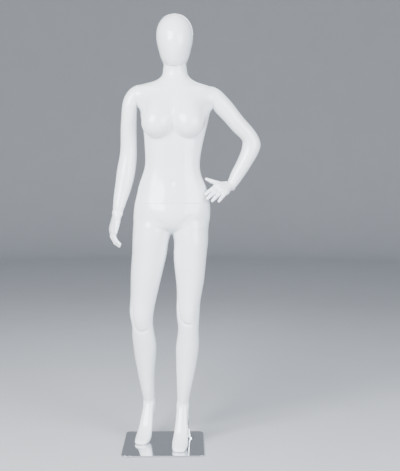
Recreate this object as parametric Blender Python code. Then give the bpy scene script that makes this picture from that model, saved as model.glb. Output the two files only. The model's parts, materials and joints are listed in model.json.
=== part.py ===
"""Full-body female display mannequin on a square polished base plate.

The figure comes apart into a lower body, a torso, a head, two arms and two
hands. A leaning rod on the base plate enters a socket in the left calf and
carries the figure. Units are metres, +Z is up and the figure faces -Y. The
origin is the centre of the base, on the floor.
"""
import math

import bmesh
import bpy
from mathutils import Matrix, Vector

# ---- driving sizes -----------------------------------------------------------
STATURE = 1.754             # sole to crown of the figure
BASE_SIDE = 0.330
BASE_THICKNESS = 0.004
BASE_CORNER_RADIUS = 0.020
PAD_THICKNESS = 0.0015
PAD_INSET = 0.003
SHELL_WALL = 0.004
BOARD_THICKNESS = 0.015
ROD_DIAMETER = 0.012
ROD_INSERTION = 0.090       # length of rod inside the calf socket
FLANGE_DIAMETER = 0.038
FLANGE_THICKNESS = 0.004
COLLAR_HEIGHT = 0.018
COLLAR_WALL = 0.003
BASE_SCREW_DIAMETER = 0.008
CALF_SOCKET_WALL = 0.002
CALF_BLOCK_HEIGHT = 0.060
WAIST_SPIGOT_SIDE = 0.030
WAIST_SPIGOT_LENGTH = 0.060
FLANGE_PLATE_THICKNESS = 0.0025
TUBE_WALL = 0.002
WOOD_SCREW_DIAMETER = 0.004
WOOD_SCREW_LENGTH = 0.011
KEYHOLE_PLATE_THICKNESS = 0.002
KEYHOLE_DROP = 0.016
STUD_DIAMETER = 0.008
STUD_HEAD_DIAMETER = 0.016
STUD_HEAD_THICKNESS = 0.003
NUT_ACROSS_FLATS = 0.013
NUT_THICKNESS = 0.0065
NECK_PIN_DIAMETER = 0.014
NECK_PIN_LENGTH = 0.034
NECK_FLANGE_DIAMETER = 0.032
BUSH_WALL = 0.003
PLUG_THICKNESS = 0.010      # wooden plug in the shoulder end of an arm
WRIST_PEG_DIAMETER = 0.009
WRIST_PEG_LENGTH = 0.044

# ---- clearances --------------------------------------------------------------
GAP = 0.0003                # between pieces that touch or rest on each other
SLIDING_CLEARANCE = 0.0004  # radial, around pieces that slide or turn
BOARD_CLEARANCE = 0.0008    # around the edge of a board in its shell
OVERCUT = 0.010             # how far a cutter runs past the face it opens

REFERENCE_STATURE = 1.754
FIGURE_SCALE = STATURE / REFERENCE_STATURE
BASE_TOP = PAD_THICKNESS + GAP + BASE_THICKNESS
SOLE_Z = BASE_TOP + GAP

# ---- figure shape at the reference stature -----------------------------------
# Column stations: height above the soles, right edge X, left edge X,
# front edge Y, back edge Y.
TRUNK = (
    (0.994, -0.1145, 0.1900, -0.090, 0.096),
    (1.022, -0.1070, 0.1850, -0.086, 0.086),
    (1.060, -0.0985, 0.1740, -0.082, 0.076),
    (1.100, -0.0850, 0.1570, -0.080, 0.068),
    (1.140, -0.0730, 0.1490, -0.080, 0.064),
    (1.180, -0.0710, 0.1510, -0.082, 0.066),
    (1.220, -0.0730, 0.1580, -0.085, 0.072),
    (1.265, -0.0760, 0.1680, -0.088, 0.082),
    (1.310, -0.0820, 0.1790, -0.090, 0.092),
    (1.350, -0.0880, 0.1880, -0.090, 0.098),
    (1.385, -0.0930, 0.1930, -0.084, 0.098),
    (1.420, -0.0900, 0.1900, -0.070, 0.090),
    (1.450, -0.0600, 0.1600, -0.046, 0.076),
)
NECK = (
    (1.440, -0.0350, 0.1350, -0.050, 0.078),
    (1.470, -0.0200, 0.1180, -0.042, 0.075),
    (1.490, -0.0080, 0.1060, -0.038, 0.071),
    (1.512, 0.0005, 0.0985, -0.036, 0.065),
    (1.540, 0.0030, 0.0950, -0.039, 0.059),
    (1.620, 0.0060, 0.0930, -0.058, 0.046),
)
PELVIS = (
    (0.864, -0.0900, 0.1550, -0.040, 0.075),
    (0.885, -0.1180, 0.1800, -0.072, 0.108),
    (0.905, -0.1240, 0.1885, -0.086, 0.119),
    (0.930, -0.1220, 0.1910, -0.093, 0.121),
    (0.962, -0.1190, 0.1915, -0.094, 0.112),
    (0.994, -0.1145, 0.1900, -0.090, 0.096),
)
RIGHT_LEG = (
    (0.145, -0.0915, -0.0350, 0.078, 0.134),
    (0.187, -0.0945, -0.0390, 0.066, 0.129),
    (0.238, -0.1040, -0.0400, 0.050, 0.124),
    (0.290, -0.1130, -0.0380, 0.032, 0.124),
    (0.344, -0.1215, -0.0340, 0.014, 0.119),
    (0.397, -0.1270, -0.0310, -0.003, 0.107),
    (0.449, -0.1305, -0.0375, -0.020, 0.089),
    (0.494, -0.1310, -0.0435, -0.033, 0.072),
    (0.534, -0.1380, -0.0420, -0.042, 0.068),
    (0.594, -0.1360, -0.0310, -0.050, 0.071),
    (0.654, -0.1340, -0.0170, -0.060, 0.077),
    (0.724, -0.1320, 0.0000, -0.070, 0.086),
    (0.794, -0.1270, 0.0150, -0.078, 0.098),
    (0.854, -0.1250, 0.0270, -0.084, 0.110),
    (0.888, -0.1225, 0.0250, -0.083, 0.114),
    (0.930, -0.1000, 0.0050, -0.072, 0.098),
)
LEFT_LEG = (
    (0.150, 0.0535, 0.1040, -0.010, 0.046),
    (0.204, 0.0550, 0.1090, -0.021, 0.043),
    (0.254, 0.0540, 0.1190, -0.031, 0.041),
    (0.304, 0.0520, 0.1300, -0.038, 0.052),
    (0.354, 0.0510, 0.1390, -0.046, 0.062),
    (0.404, 0.0510, 0.1450, -0.055, 0.060),
    (0.454, 0.0580, 0.1450, -0.064, 0.046),
    (0.494, 0.0600, 0.1445, -0.074, 0.031),
    (0.534, 0.0550, 0.1470, -0.079, 0.032),
    (0.594, 0.0550, 0.1510, -0.080, 0.040),
    (0.654, 0.0540, 0.1620, -0.083, 0.052),
    (0.724, 0.0470, 0.1710, -0.086, 0.068),
    (0.794, 0.0430, 0.1780, -0.086, 0.088),
    (0.854, 0.0405, 0.1835, -0.086, 0.108),
    (0.888, 0.0430, 0.1840, -0.083, 0.114),
    (0.930, 0.0650, 0.1650, -0.072, 0.098),
)
# Yoke stations, across the shoulders: X, low Z, high Z, front Y, back Y.
YOKE = (
    (-0.106, 1.383, 1.467, -0.036, 0.048),
    (-0.060, 1.360, 1.477, -0.056, 0.074),
    (-0.010, 1.351, 1.486, -0.060, 0.080),
    (0.0495, 1.350, 1.490, -0.060, 0.082),
    (0.109, 1.350, 1.484, -0.060, 0.080),
    (0.159, 1.356, 1.472, -0.056, 0.074),
    (0.205, 1.376, 1.460, -0.036, 0.048),
)
# Breasts: centre and the three radii.
BREASTS = (
    ((-0.021, -0.078, 1.312), (0.061, 0.053, 0.058)),
    ((0.103, -0.078, 1.312), (0.061, 0.053, 0.058)),
)
# Foot stations: distance behind the toe tip, low Z, high Z, half width.
FOOT = (
    (0.004, 0.003, 0.011, 0.0140),
    (0.014, 0.000, 0.019, 0.0240),
    (0.031, 0.000, 0.026, 0.0295),
    (0.056, 0.000, 0.042, 0.0320),
    (0.076, 0.006, 0.066, 0.0300),
    (0.098, 0.030, 0.108, 0.0265),
    (0.120, 0.056, 0.150, 0.0240),
    (0.142, 0.078, 0.182, 0.0235),
    (0.162, 0.088, 0.178, 0.0220),
    (0.175, 0.098, 0.160, 0.0160),
)
RIGHT_TOE_TIP = (-0.098, -0.030)
RIGHT_FOOT_TURN = math.radians(-14)   # about +Z, from straight ahead
LEFT_TOE_TIP = (0.062, -0.130)
LEFT_FOOT_TURN = math.radians(-6.5)
# Arm stations: centre X, Y, Z, turn of the section from level, half across,
# half deep. A turn of 90 degrees stands the section on edge, facing sideways.
RIGHT_ARM = (
    (-0.1060, 0.006, 1.425, 90, 0.0420, 0.0420),
    (-0.1280, 0.006, 1.4085, 58, 0.0400, 0.0430),
    (-0.1350, 0.007, 1.379, 25, 0.0315, 0.0420),
    (-0.1365, 0.009, 1.344, 0, 0.0307, 0.0400),
    (-0.1390, 0.013, 1.294, 0, 0.0320, 0.0380),
    (-0.1395, 0.018, 1.244, 0, 0.0325, 0.0360),
    (-0.1410, 0.022, 1.194, 0, 0.0340, 0.0355),
    (-0.1470, 0.022, 1.146, 0, 0.0370, 0.0370),
    (-0.1535, 0.019, 1.104, 5, 0.0367, 0.0360),
    (-0.1630, 0.013, 1.054, 8, 0.0330, 0.0320),
    (-0.1750, 0.005, 1.004, 11, 0.0270, 0.0275),
    (-0.1835, -0.002, 0.961, 11, 0.0215, 0.0240),
)
LEFT_ARM = (
    (0.2050, 0.006, 1.418, 90, 0.0420, 0.0420),
    (0.2280, 0.007, 1.4045, 60, 0.0400, 0.0425),
    (0.2480, 0.010, 1.380, 47, 0.0385, 0.0415),
    (0.2725, 0.015, 1.352, 41, 0.0365, 0.0400),
    (0.3165, 0.028, 1.300, 40, 0.0350, 0.0375),
    (0.3410, 0.036, 1.274, 36, 0.0340, 0.0360),
    (0.3545, 0.041, 1.255, 22, 0.0350, 0.0355),
    (0.3610, 0.044, 1.232, 4, 0.0370, 0.0355),
    (0.3560, 0.045, 1.2065, -14, 0.0350, 0.0355),
    (0.3385, 0.045, 1.170, -27, 0.0310, 0.0350),
    (0.3185, 0.042, 1.133, -29, 0.0285, 0.0320),
    (0.3000, 0.038, 1.103, -32, 0.0260, 0.0280),
    (0.2780, 0.031, 1.065, -37, 0.0215, 0.0240),
)
SHOULDER_AXES = {"right": (0.006, 1.425), "left": (0.006, 1.418)}   # Y and Z of each shoulder stud
HEAD_SEAM_CENTRE = (0.0485, 0.010, 1.562)
HEAD_TILT = math.radians(20)          # the neck and the head lean forwards by this
# Egg stations along the tilted axis: height above the seam, half width,
# reach forwards, reach backwards.
EGG = (
    (0.000, 0.0495, 0.0620, 0.0540),
    (0.012, 0.0535, 0.0780, 0.0640),
    (0.034, 0.0605, 0.0920, 0.0780),
    (0.060, 0.0670, 0.0975, 0.0900),
    (0.085, 0.0723, 0.0975, 0.0985),
    (0.110, 0.0728, 0.0925, 0.1025),
    (0.136, 0.0683, 0.0800, 0.0990),
    (0.158, 0.0570, 0.0620, 0.0860),
    (0.174, 0.0420, 0.0420, 0.0640),
    (0.183, 0.0250, 0.0220, 0.0400),
)
# Hand stations from the wrist to the knuckles: reach, half breadth, half thickness.
PALM = (
    (0.0000, 0.0230, 0.0215),
    (0.0180, 0.0225, 0.0175),
    (0.0420, 0.0290, 0.0145),
    (0.0700, 0.0345, 0.0125),
    (0.0840, 0.0320, 0.0100),
)
# Fingers: knuckle across and reach, splay in degrees, length, radius.
FINGERS = (
    (0.0230, 0.076, 5, 0.068, 0.0085),
    (0.0080, 0.079, 1, 0.075, 0.0087),
    (-0.0075, 0.077, -3, 0.070, 0.0083),
    (-0.0220, 0.071, -8, 0.056, 0.0073),
)
LEFT_THUMB = ((0.016, 0.022, -0.008), (0.042, 0.042, -0.008), (0.066, 0.062, -0.007), (0.082, 0.076, -0.003))
RIGHT_THUMB = ((0.010, 0.016, -0.004), (0.030, 0.045, -0.018), (0.033, 0.070, -0.024), (0.030, 0.090, -0.028))
THUMB_RADII = (0.0120, 0.0105, 0.0092, 0.0070)
LEFT_CURL = (16, 12, 10)              # degrees at the knuckle and two joints
RIGHT_CURL = (14, 24, 20)

# Rod: where it stands on the plate, a point it passes in the calf, and its entry.
ROD_FOOT = (0.105, 0.076)
ROD_AIM = (0.083, 0.040, 0.354)
CALF_ENTRY_HEIGHT = 0.300
CALF_BLOCK_LOW = 0.325
LEG_CAVITY_LOW = 0.225                # below this the legs are solid
PEG_REACH = 0.022                     # of the wrist peg into a hand, at most

SKIN = (0.84, 0.86, 0.90)


# ---- materials ---------------------------------------------------------------
def material(name, colour, roughness, metallic=0.0):
    """Return a Principled material of one colour."""
    made = bpy.data.materials.new(name)
    made.use_nodes = True
    shader = made.node_tree.nodes["Principled BSDF"]
    shader.inputs["Base Color"].default_value = (*colour, 1.0)
    shader.inputs["Roughness"].default_value = roughness
    shader.inputs["Metallic"].default_value = metallic
    return made


# ---- mesh helpers ------------------------------------------------------------
def figure_point(x, y, z):
    """Return a point of the figure in world coordinates."""
    return Vector((FIGURE_SCALE * x, FIGURE_SCALE * y, SOLE_Z + FIGURE_SCALE * z))


def finish(bm, name, paint=None, origin=None, smooth=True):
    """Turn a bmesh into a named object whose origin is at the given point."""
    bmesh.ops.recalc_face_normals(bm, faces=bm.faces)
    if origin is not None:
        bmesh.ops.translate(bm, verts=bm.verts, vec=-origin)
    mesh = bpy.data.meshes.new(name)
    bm.to_mesh(mesh)
    bm.free()
    if smooth:
        mesh.shade_smooth()
        mesh.set_sharp_from_angle(angle=math.radians(40))
    made = bpy.data.objects.new(name, mesh)
    bpy.context.collection.objects.link(made)
    if origin is not None:
        made.location = origin
    if paint is not None:
        mesh.materials.append(paint)
    return made


def add_loft(bm, rings):
    """Skin a closed body over a list of rings with equal numbers of points."""
    loops = [[bm.verts.new(point) for point in ring] for ring in rings]
    count = len(loops[0])
    for low, high in zip(loops, loops[1:]):
        for i in range(count):
            j = (i + 1) % count
            bm.faces.new((low[i], low[j], high[j], high[i]))
    bm.faces.new(loops[0][::-1])
    bm.faces.new(loops[-1])


def loft(name, rings, paint=None, origin=None):
    """Return one lofted object."""
    bm = bmesh.new()
    add_loft(bm, rings)
    return finish(bm, name, paint, origin)


def unit_section(segments, power):
    """Return the points of a rounded section whose half sizes are 1."""
    points = []
    for i in range(segments):
        angle = 2 * math.pi * (i + 0.5) / segments
        c, s = math.cos(angle), math.sin(angle)
        points.append((math.copysign(abs(c) ** (2 / power), c), math.copysign(abs(s) ** (2 / power), s)))
    return points


def interpolate(stations, at):
    """Return the station values at one place, straight between neighbours."""
    for low, high in zip(stations, stations[1:]):
        if at <= high[0]:
            break
    share = (at - low[0]) / (high[0] - low[0])
    return [a + (b - a) * share for a, b in zip(low, high)]


def column_ring(stations, height, inset, segments, power):
    """Return one level ring of a column, moved inwards by an inset."""
    z, right, left, front, back = interpolate(stations, height)
    cut = inset / FIGURE_SCALE
    half_x = (left - right) / 2 - cut
    half_y = (back - front) / 2 - cut
    centre_x, centre_y = (left + right) / 2, (back + front) / 2
    return [figure_point(centre_x + half_x * u, centre_y + half_y * v, z)
            for u, v in unit_section(segments, power)]


def column_rings(stations, low, high, inset, segments, power):
    """Return the rings of a column between two heights, ends included."""
    heights = [low] + [s[0] for s in stations if low + 0.002 < s[0] < high - 0.002] + [high]
    return [column_ring(stations, h, inset, segments, power) for h in heights]


def yoke_rings(inset, segments, low_x, high_x):
    """Return the rings across the shoulders between two places."""
    places = [low_x] + [s[0] for s in YOKE if low_x + 0.002 < s[0] < high_x - 0.002] + [high_x]
    rings = []
    for place in places:
        x, low, high, front, back = interpolate(YOKE, place)
        cut = inset / FIGURE_SCALE
        half_y, half_z = (back - front) / 2 - cut, (high - low) / 2 - cut
        rings.append([figure_point(x, (front + back) / 2 + half_y * u, (low + high) / 2 + half_z * v)
                      for u, v in unit_section(segments, 2.0)])
    return rings


def arm_frames(stations):
    """Return the centre, across, deep and along directions of each arm station."""
    points = [figure_point(*s[:3]) for s in stations]
    side = math.copysign(1, stations[0][0])
    frames = []
    for i, station in enumerate(stations):
        turn = math.radians(station[3])
        before, after = points[max(i - 1, 0)], points[min(i + 1, len(points) - 1)]
        drift = (after - before).y / max((after - before).length, 1e-6) if i else 0.0
        along = Vector((side * math.sin(turn), drift, -math.cos(turn))).normalized()
        across = Vector((math.cos(turn), 0, side * math.sin(turn)))
        deep = along.cross(across).normalized()
        frames.append((points[i], across, deep, along))
    return frames


def arm_rings(stations, inset, segments, first=0, last=None):
    """Return the rings of an arm, moved inwards by an inset."""
    rings = []
    for frame, station in list(zip(arm_frames(stations), stations))[first:last]:
        centre, across, deep, _ = frame
        half_across = FIGURE_SCALE * station[4] - inset
        half_deep = FIGURE_SCALE * station[5] - inset
        rings.append([centre + across * half_across * u + deep * half_deep * v
                      for u, v in unit_section(segments, 2.0)])
    return rings


def add_cylinder(bm, start, end, radius, segments=16, end_radius=None):
    """Add a closed cylinder or cone between two points."""
    axis = end - start
    turn = axis.to_track_quat('Z', 'Y').to_matrix().to_4x4()
    matrix = Matrix.Translation((start + end) / 2) @ turn
    bmesh.ops.create_cone(bm, cap_ends=True, cap_tris=False, segments=segments, radius1=radius,
                          radius2=radius if end_radius is None else end_radius,
                          depth=axis.length, matrix=matrix)


def cylinder(name, start, end, radius, segments=16, paint=None, origin=None, end_radius=None):
    """Return one cylinder or cone object."""
    bm = bmesh.new()
    add_cylinder(bm, start, end, radius, segments, end_radius)
    return finish(bm, name, paint, origin)


def turned(name, start, axis, profile, segments, paint=None, origin=None):
    """Return a body turned about an axis from (distance along, radius) pairs."""
    axis = axis.normalized()
    turn = axis.to_track_quat('Z', 'Y').to_matrix()
    rings = []
    for distance, radius in profile:
        ring = [turn @ Vector((radius * math.cos(2 * math.pi * i / segments),
                               radius * math.sin(2 * math.pi * i / segments), 0))
                for i in range(segments)]
        rings.append([start + axis * distance + point for point in ring])
    return loft(name, rings, paint, origin)


def add_box(bm, low, high):
    """Add a closed box between two corners."""
    size = high - low
    matrix = Matrix.Translation((low + high) / 2) @ Matrix.Diagonal((*size, 1))
    bmesh.ops.create_cube(bm, size=1, matrix=matrix)


def box(name, low, high, paint=None, origin=None):
    """Return one box object."""
    bm = bmesh.new()
    add_box(bm, Vector(low), Vector(high))
    return finish(bm, name, paint, origin, smooth=False)


def as_cutter(tool):
    """Mark an object as a hidden modelling tool."""
    tool.hide_render = True
    tool.display_type = 'WIRE'
    return tool


def combine(target, tools, operation):
    """Join or cut a target with tools, by one Boolean modifier for each tool."""
    for tool in tools:
        modifier = target.modifiers.new(f"{operation.lower()}_{tool.name}", 'BOOLEAN')
        modifier.operation = operation
        modifier.solver = 'EXACT'
        modifier.object = as_cutter(tool)
    return target


def slice_above(bm, point, normal):
    """Cut away what lies beyond a plane and close the cut."""
    everything = bm.verts[:] + bm.edges[:] + bm.faces[:]
    cut = bmesh.ops.bisect_plane(bm, geom=everything, plane_co=point, plane_no=normal, clear_outer=True)
    edges = [e for e in cut["geom_cut"] if isinstance(e, bmesh.types.BMEdge)]
    bmesh.ops.edgeloop_fill(bm, edges=edges)


def pan_head_screws(name, points, axis, paint):
    """Make pan-head screws at the given points, heads outwards along the axis."""
    head, thickness = WOOD_SCREW_DIAMETER, WOOD_SCREW_DIAMETER * 0.6
    shank = WOOD_SCREW_DIAMETER / 2
    profile = ((-WOOD_SCREW_LENGTH, shank * 0.4), (-WOOD_SCREW_LENGTH * 0.8, shank), (GAP, shank), (GAP, head),
               (GAP + thickness * 0.6, head), (GAP + thickness, head * 0.6))
    for i, point in enumerate(points, start=1):
        turned(f"{name}_{i}", point, axis, profile, 10, paint)


def screw_holes(name, points, axis, depth_in, depth_out):
    """Return the cutter for a group of screw holes."""
    bm = bmesh.new()
    for point in points:
        add_cylinder(bm, point - axis * depth_in, point + axis * depth_out,
                     WOOD_SCREW_DIAMETER / 2 + SLIDING_CLEARANCE, 10)
    return finish(bm, name)


# ---- base --------------------------------------------------------------------
def rounded_square(side, radius, z):
    """Return the outline of a square with rounded corners at one height."""
    outline = []
    steps = 6
    for corner in range(4):
        centre = Vector((side / 2 - radius, side / 2 - radius, 0))
        for i in range(steps + 1):
            angle = math.pi / 2 * i / steps
            point = centre + Vector((radius * math.cos(angle), radius * math.sin(angle), 0))
            point = Matrix.Rotation(math.pi / 2 * corner, 3, 'Z') @ point
            outline.append(Vector((point.x, point.y, z)))
    return outline


def rod_line():
    """Return the rod's foot on the base plate and its direction."""
    foot = Vector((FIGURE_SCALE * ROD_FOOT[0], FIGURE_SCALE * ROD_FOOT[1], BASE_TOP + GAP))
    target = figure_point(*ROD_AIM)
    return foot, (target - foot).normalized()


def calf_entry():
    """Return the distance up the rod at which it enters the calf."""
    foot, lean = rod_line()
    return (figure_point(0, 0, CALF_ENTRY_HEIGHT) - foot).z / lean.z


def make_base(steel, rubber, zinc):
    """Make the base plate, its pad, and the rod with its flange and screws."""
    low = PAD_THICKNESS + GAP
    chamfer = BASE_THICKNESS * 0.15
    plate = loft("base_plate", [
        rounded_square(BASE_SIDE - 2 * chamfer, BASE_CORNER_RADIUS, low),
        rounded_square(BASE_SIDE, BASE_CORNER_RADIUS, low + chamfer),
        rounded_square(BASE_SIDE, BASE_CORNER_RADIUS, BASE_TOP - chamfer),
        rounded_square(BASE_SIDE - 2 * chamfer, BASE_CORNER_RADIUS, BASE_TOP)], steel)
    pad_side = BASE_SIDE - 2 * PAD_INSET
    loft("base_pad", [rounded_square(pad_side, BASE_CORNER_RADIUS, 0.0),
                      rounded_square(pad_side, BASE_CORNER_RADIUS, PAD_THICKNESS)], rubber)

    foot, lean = rod_line()
    up = Vector((0, 0, 1))
    rod_radius = ROD_DIAMETER / 2
    seat = foot + lean * (FLANGE_THICKNESS + 0.004)
    flange = cylinder("rod_flange", foot, foot + up * FLANGE_THICKNESS, FLANGE_DIAMETER / 2, 32, steel)
    collar = cylinder("collar", foot + lean * FLANGE_THICKNESS * 0.5, foot + lean * COLLAR_HEIGHT,
                      rod_radius + COLLAR_WALL, 24)
    rod_bore = cylinder("rod_bore", seat - lean * GAP, foot + lean * (COLLAR_HEIGHT + OVERCUT),
                        rod_radius + SLIDING_CLEARANCE, 24)
    grub_height = foot + lean * (COLLAR_HEIGHT - 0.0055)
    outwards = (Vector((1, 1, 0)) - lean * lean.dot(Vector((1, 1, 0)))).normalized()
    grub_radius = 0.0015
    grub_hole = cylinder("grub_hole", grub_height, grub_height + outwards * 0.03,
                         grub_radius + SLIDING_CLEARANCE, 12)
    screw_radius = BASE_SCREW_DIAMETER / 2
    head_radius = BASE_SCREW_DIAMETER
    head_depth = min(0.003, BASE_THICKNESS * 0.75)
    screw_base = Vector((foot.x, foot.y, low))
    thread_end = foot + up * (FLANGE_THICKNESS - 0.001)
    screw_hole = cylinder("screw_hole", screw_base - up * OVERCUT, thread_end + up * GAP,
                          screw_radius * 0.75 + SLIDING_CLEARANCE, 16)
    combine(flange, [collar], 'UNION')
    combine(flange, [rod_bore, grub_hole, screw_hole], 'DIFFERENCE')
    shank_hole = cylinder("shank_hole", screw_base - up * OVERCUT, foot + up * OVERCUT,
                          screw_radius * 0.75 + SLIDING_CLEARANCE, 16)
    slope = (head_radius - screw_radius * 0.75) / head_depth
    spread = SLIDING_CLEARANCE * 2
    countersink = cylinder("countersink", screw_base - up * 0.002, screw_base + up * head_depth,
                           head_radius + slope * 0.002 + spread, 24,
                           end_radius=screw_radius * 0.75 + spread)
    combine(plate, [shank_hole, countersink], 'DIFFERENCE')
    turned("flange_screw", screw_base + up * GAP, up,
           ((0, head_radius - slope * GAP), (head_depth - GAP, screw_radius * 0.75),
            (thread_end.z - screw_base.z - GAP, screw_radius * 0.75)), 16, zinc)
    cylinder("rod_grub_screw", grub_height + outwards * (rod_radius + GAP),
             grub_height + outwards * (rod_radius + COLLAR_WALL + 0.0005), grub_radius, 12, zinc)
    top = calf_entry() + ROD_INSERTION
    tip = ROD_DIAMETER * 0.15
    turned("calf_rod", foot, lean,
           ((FLANGE_THICKNESS + 0.004, rod_radius), (top - tip, rod_radius), (top, rod_radius - tip)), 24, steel)


# ---- lower body --------------------------------------------------------------
def foot_rings(tip, turn, segments):
    """Return the rings of one foot, from the toe tip back to the heel."""
    heading = Matrix.Rotation(turn, 3, 'Z')
    rings = []
    for distance, low, high, half in FOOT:
        centre = Vector((tip[0], tip[1], 0)) + heading @ Vector((0, distance, 0))
        ring = []
        for u, v in unit_section(segments, 2.3):
            point = centre + heading @ Vector((half * u, 0, 0))
            ring.append(figure_point(point.x, point.y, (low + high) / 2 + (high - low) / 2 * v))
        rings.append(ring)
    return rings


def make_lower_body(skin, wood, steel, zinc):
    """Make the pelvis and legs in one shell, with the calf and waist fittings."""
    seam = PELVIS[-1][0]
    top = seam - GAP / 2 / FIGURE_SCALE
    shell = loft("lower_body_shell", column_rings(PELVIS, PELVIS[0][0], top, 0, 28, 2.2), skin)
    legs = []
    cavities = [loft("pelvis_cavity", column_rings(PELVIS, PELVIS[0][0] + 0.008, top, SHELL_WALL, 20, 2.2)
                     + [[p + Vector((0, 0, OVERCUT)) for p in column_ring(PELVIS, top, SHELL_WALL, 20, 2.2)]])]
    for side, stations, tip, turn in (("right", RIGHT_LEG, RIGHT_TOE_TIP, RIGHT_FOOT_TURN),
                                      ("left", LEFT_LEG, LEFT_TOE_TIP, LEFT_FOOT_TURN)):
        legs.append(loft(f"{side}_leg", column_rings(stations, stations[0][0], stations[-1][0], 0, 22, 2.0)))
        legs.append(loft(f"{side}_foot", foot_rings(tip, turn, 16)))
        cavities.append(loft(f"{side}_leg_cavity",
                             column_rings(stations, LEG_CAVITY_LOW, stations[-1][0], SHELL_WALL, 16, 2.0)))
    combine(shell, legs, 'UNION')

    foot, lean = rod_line()
    tube_radius = ROD_DIAMETER / 2 + SLIDING_CLEARANCE + CALF_SOCKET_WALL
    entry = calf_entry()
    tube_top = entry + ROD_INSERTION + 0.004 + CALF_SOCKET_WALL
    socket_cut = cylinder("socket_cut", foot + lean * (entry - GAP), foot + lean * (tube_top + GAP),
                          tube_radius + GAP, 24)
    rod_cut = cylinder("rod_cut", foot + lean * (entry - 0.070), foot + lean * (entry + OVERCUT),
                       ROD_DIAMETER / 2 + 2.5 * SLIDING_CLEARANCE, 24)
    combine(shell, cavities + [socket_cut, rod_cut], 'DIFFERENCE')

    tube = cylinder("calf_socket", foot + lean * entry, foot + lean * tube_top, tube_radius, 24, steel)
    bore = cylinder("calf_bore", foot + lean * (entry - OVERCUT), foot + lean * (tube_top - CALF_SOCKET_WALL),
                    ROD_DIAMETER / 2 + SLIDING_CLEARANCE, 24)
    combine(tube, [bore], 'DIFFERENCE')

    block_high = CALF_BLOCK_LOW + CALF_BLOCK_HEIGHT / FIGURE_SCALE
    block = loft("calf_block",
                 column_rings(LEFT_LEG, CALF_BLOCK_LOW, block_high, SHELL_WALL + BOARD_CLEARANCE, 16, 2.0), wood)
    combine(block, [cylinder("block_bore", foot + lean * entry, foot + lean * (tube_top + 4 * OVERCUT),
                             tube_radius + GAP, 24)], 'DIFFERENCE')

    board_low = top - (GAP / 2 + BOARD_THICKNESS) / FIGURE_SCALE
    board = loft("waist_lower_board",
                 column_rings(PELVIS, board_low, top, SHELL_WALL + BOARD_CLEARANCE, 20, 2.2), wood)
    centre = waist_centre()
    outer = WAIST_SPIGOT_SIDE / 2 + SLIDING_CLEARANCE + TUBE_WALL
    half_hole = outer + GAP
    under = figure_point(0, 0, board_low).z
    mouth = figure_point(0, 0, top).z
    tall = Vector((half_hole, half_hole, 0))
    rise = Vector((0, 0, OVERCUT))
    hole = box("board_hole", Vector((centre.x, centre.y, under)) - tall - rise,
               Vector((centre.x, centre.y, mouth)) + tall + rise)
    plate_half = outer + 0.014
    holes = [Vector((centre.x + sx * (outer + 0.007), centre.y + sy * (outer + 0.007),
                     under - GAP - FLANGE_PLATE_THICKNESS)) for sx in (-1, 1) for sy in (-1, 1)]
    down = Vector((0, 0, -1))
    combine(board, [hole, screw_holes("board_pilots", holes, down, WOOD_SCREW_LENGTH + 0.001, 0.001)],
            'DIFFERENCE')
    flange_low = Vector((centre.x - plate_half, centre.y - plate_half, under - GAP - FLANGE_PLATE_THICKNESS))
    flange_high = Vector((centre.x + plate_half, centre.y + plate_half, under - GAP))
    socket = box("waist_socket", flange_low, flange_high, steel)
    depth = WAIST_SPIGOT_LENGTH + 0.012
    sleeve = box("sleeve", (centre.x - outer, centre.y - outer, mouth - depth),
                 (centre.x + outer, centre.y + outer, mouth - GAP))
    inner = WAIST_SPIGOT_SIDE / 2 + SLIDING_CLEARANCE
    sleeve_bore = box("sleeve_bore", (centre.x - inner, centre.y - inner, mouth - depth - OVERCUT),
                      (centre.x + inner, centre.y + inner, mouth + OVERCUT))
    combine(socket, [sleeve], 'UNION')
    combine(socket, [sleeve_bore, screw_holes("socket_holes", holes, down, OVERCUT, OVERCUT)], 'DIFFERENCE')
    pan_head_screws("waist_socket_screw", holes, down, zinc)


# ---- torso -------------------------------------------------------------------
def waist_centre():
    """Return the middle of the waist seam."""
    z, right, left, front, back = TRUNK[0]
    return figure_point((right + left) / 2, 0.0, z)


def neck_frame():
    """Return the centre of the neck seam and the direction up through it."""
    return figure_point(*HEAD_SEAM_CENTRE), Vector((0, -math.sin(HEAD_TILT), math.cos(HEAD_TILT)))


def ellipsoid(name, centre, radii, inset):
    """Return an ellipsoid of the figure, moved inwards by an inset."""
    bm = bmesh.new()
    bmesh.ops.create_uvsphere(bm, u_segments=16, v_segments=10, radius=1.0)
    sizes = [FIGURE_SCALE * r - inset for r in radii]
    bmesh.ops.transform(bm, matrix=Matrix.Translation(figure_point(*centre)) @ Matrix.Diagonal((*sizes, 1)),
                        verts=bm.verts)
    return finish(bm, name)


def neck_slab(name, low_offset, high_offset, inset, segments, paint=None):
    """Return the neck's cross-section between two planes parallel to its seam."""
    centre, up = neck_frame()
    bm = bmesh.new()
    add_loft(bm, column_rings(NECK, NECK[0][0], NECK[-1][0], inset, segments, 2.0))
    slice_above(bm, centre + up * high_offset, up)
    if low_offset is not None:
        slice_above(bm, centre + up * low_offset, -up)
    return finish(bm, name, paint)


def shoulder_point(side):
    """Return the centre of one shoulder face and its outward direction."""
    x = YOKE[0][0] if side == "right" else YOKE[-1][0]
    return figure_point(x, *SHOULDER_AXES[side]), Vector((-1 if side == "right" else 1, 0, 0))


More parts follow.
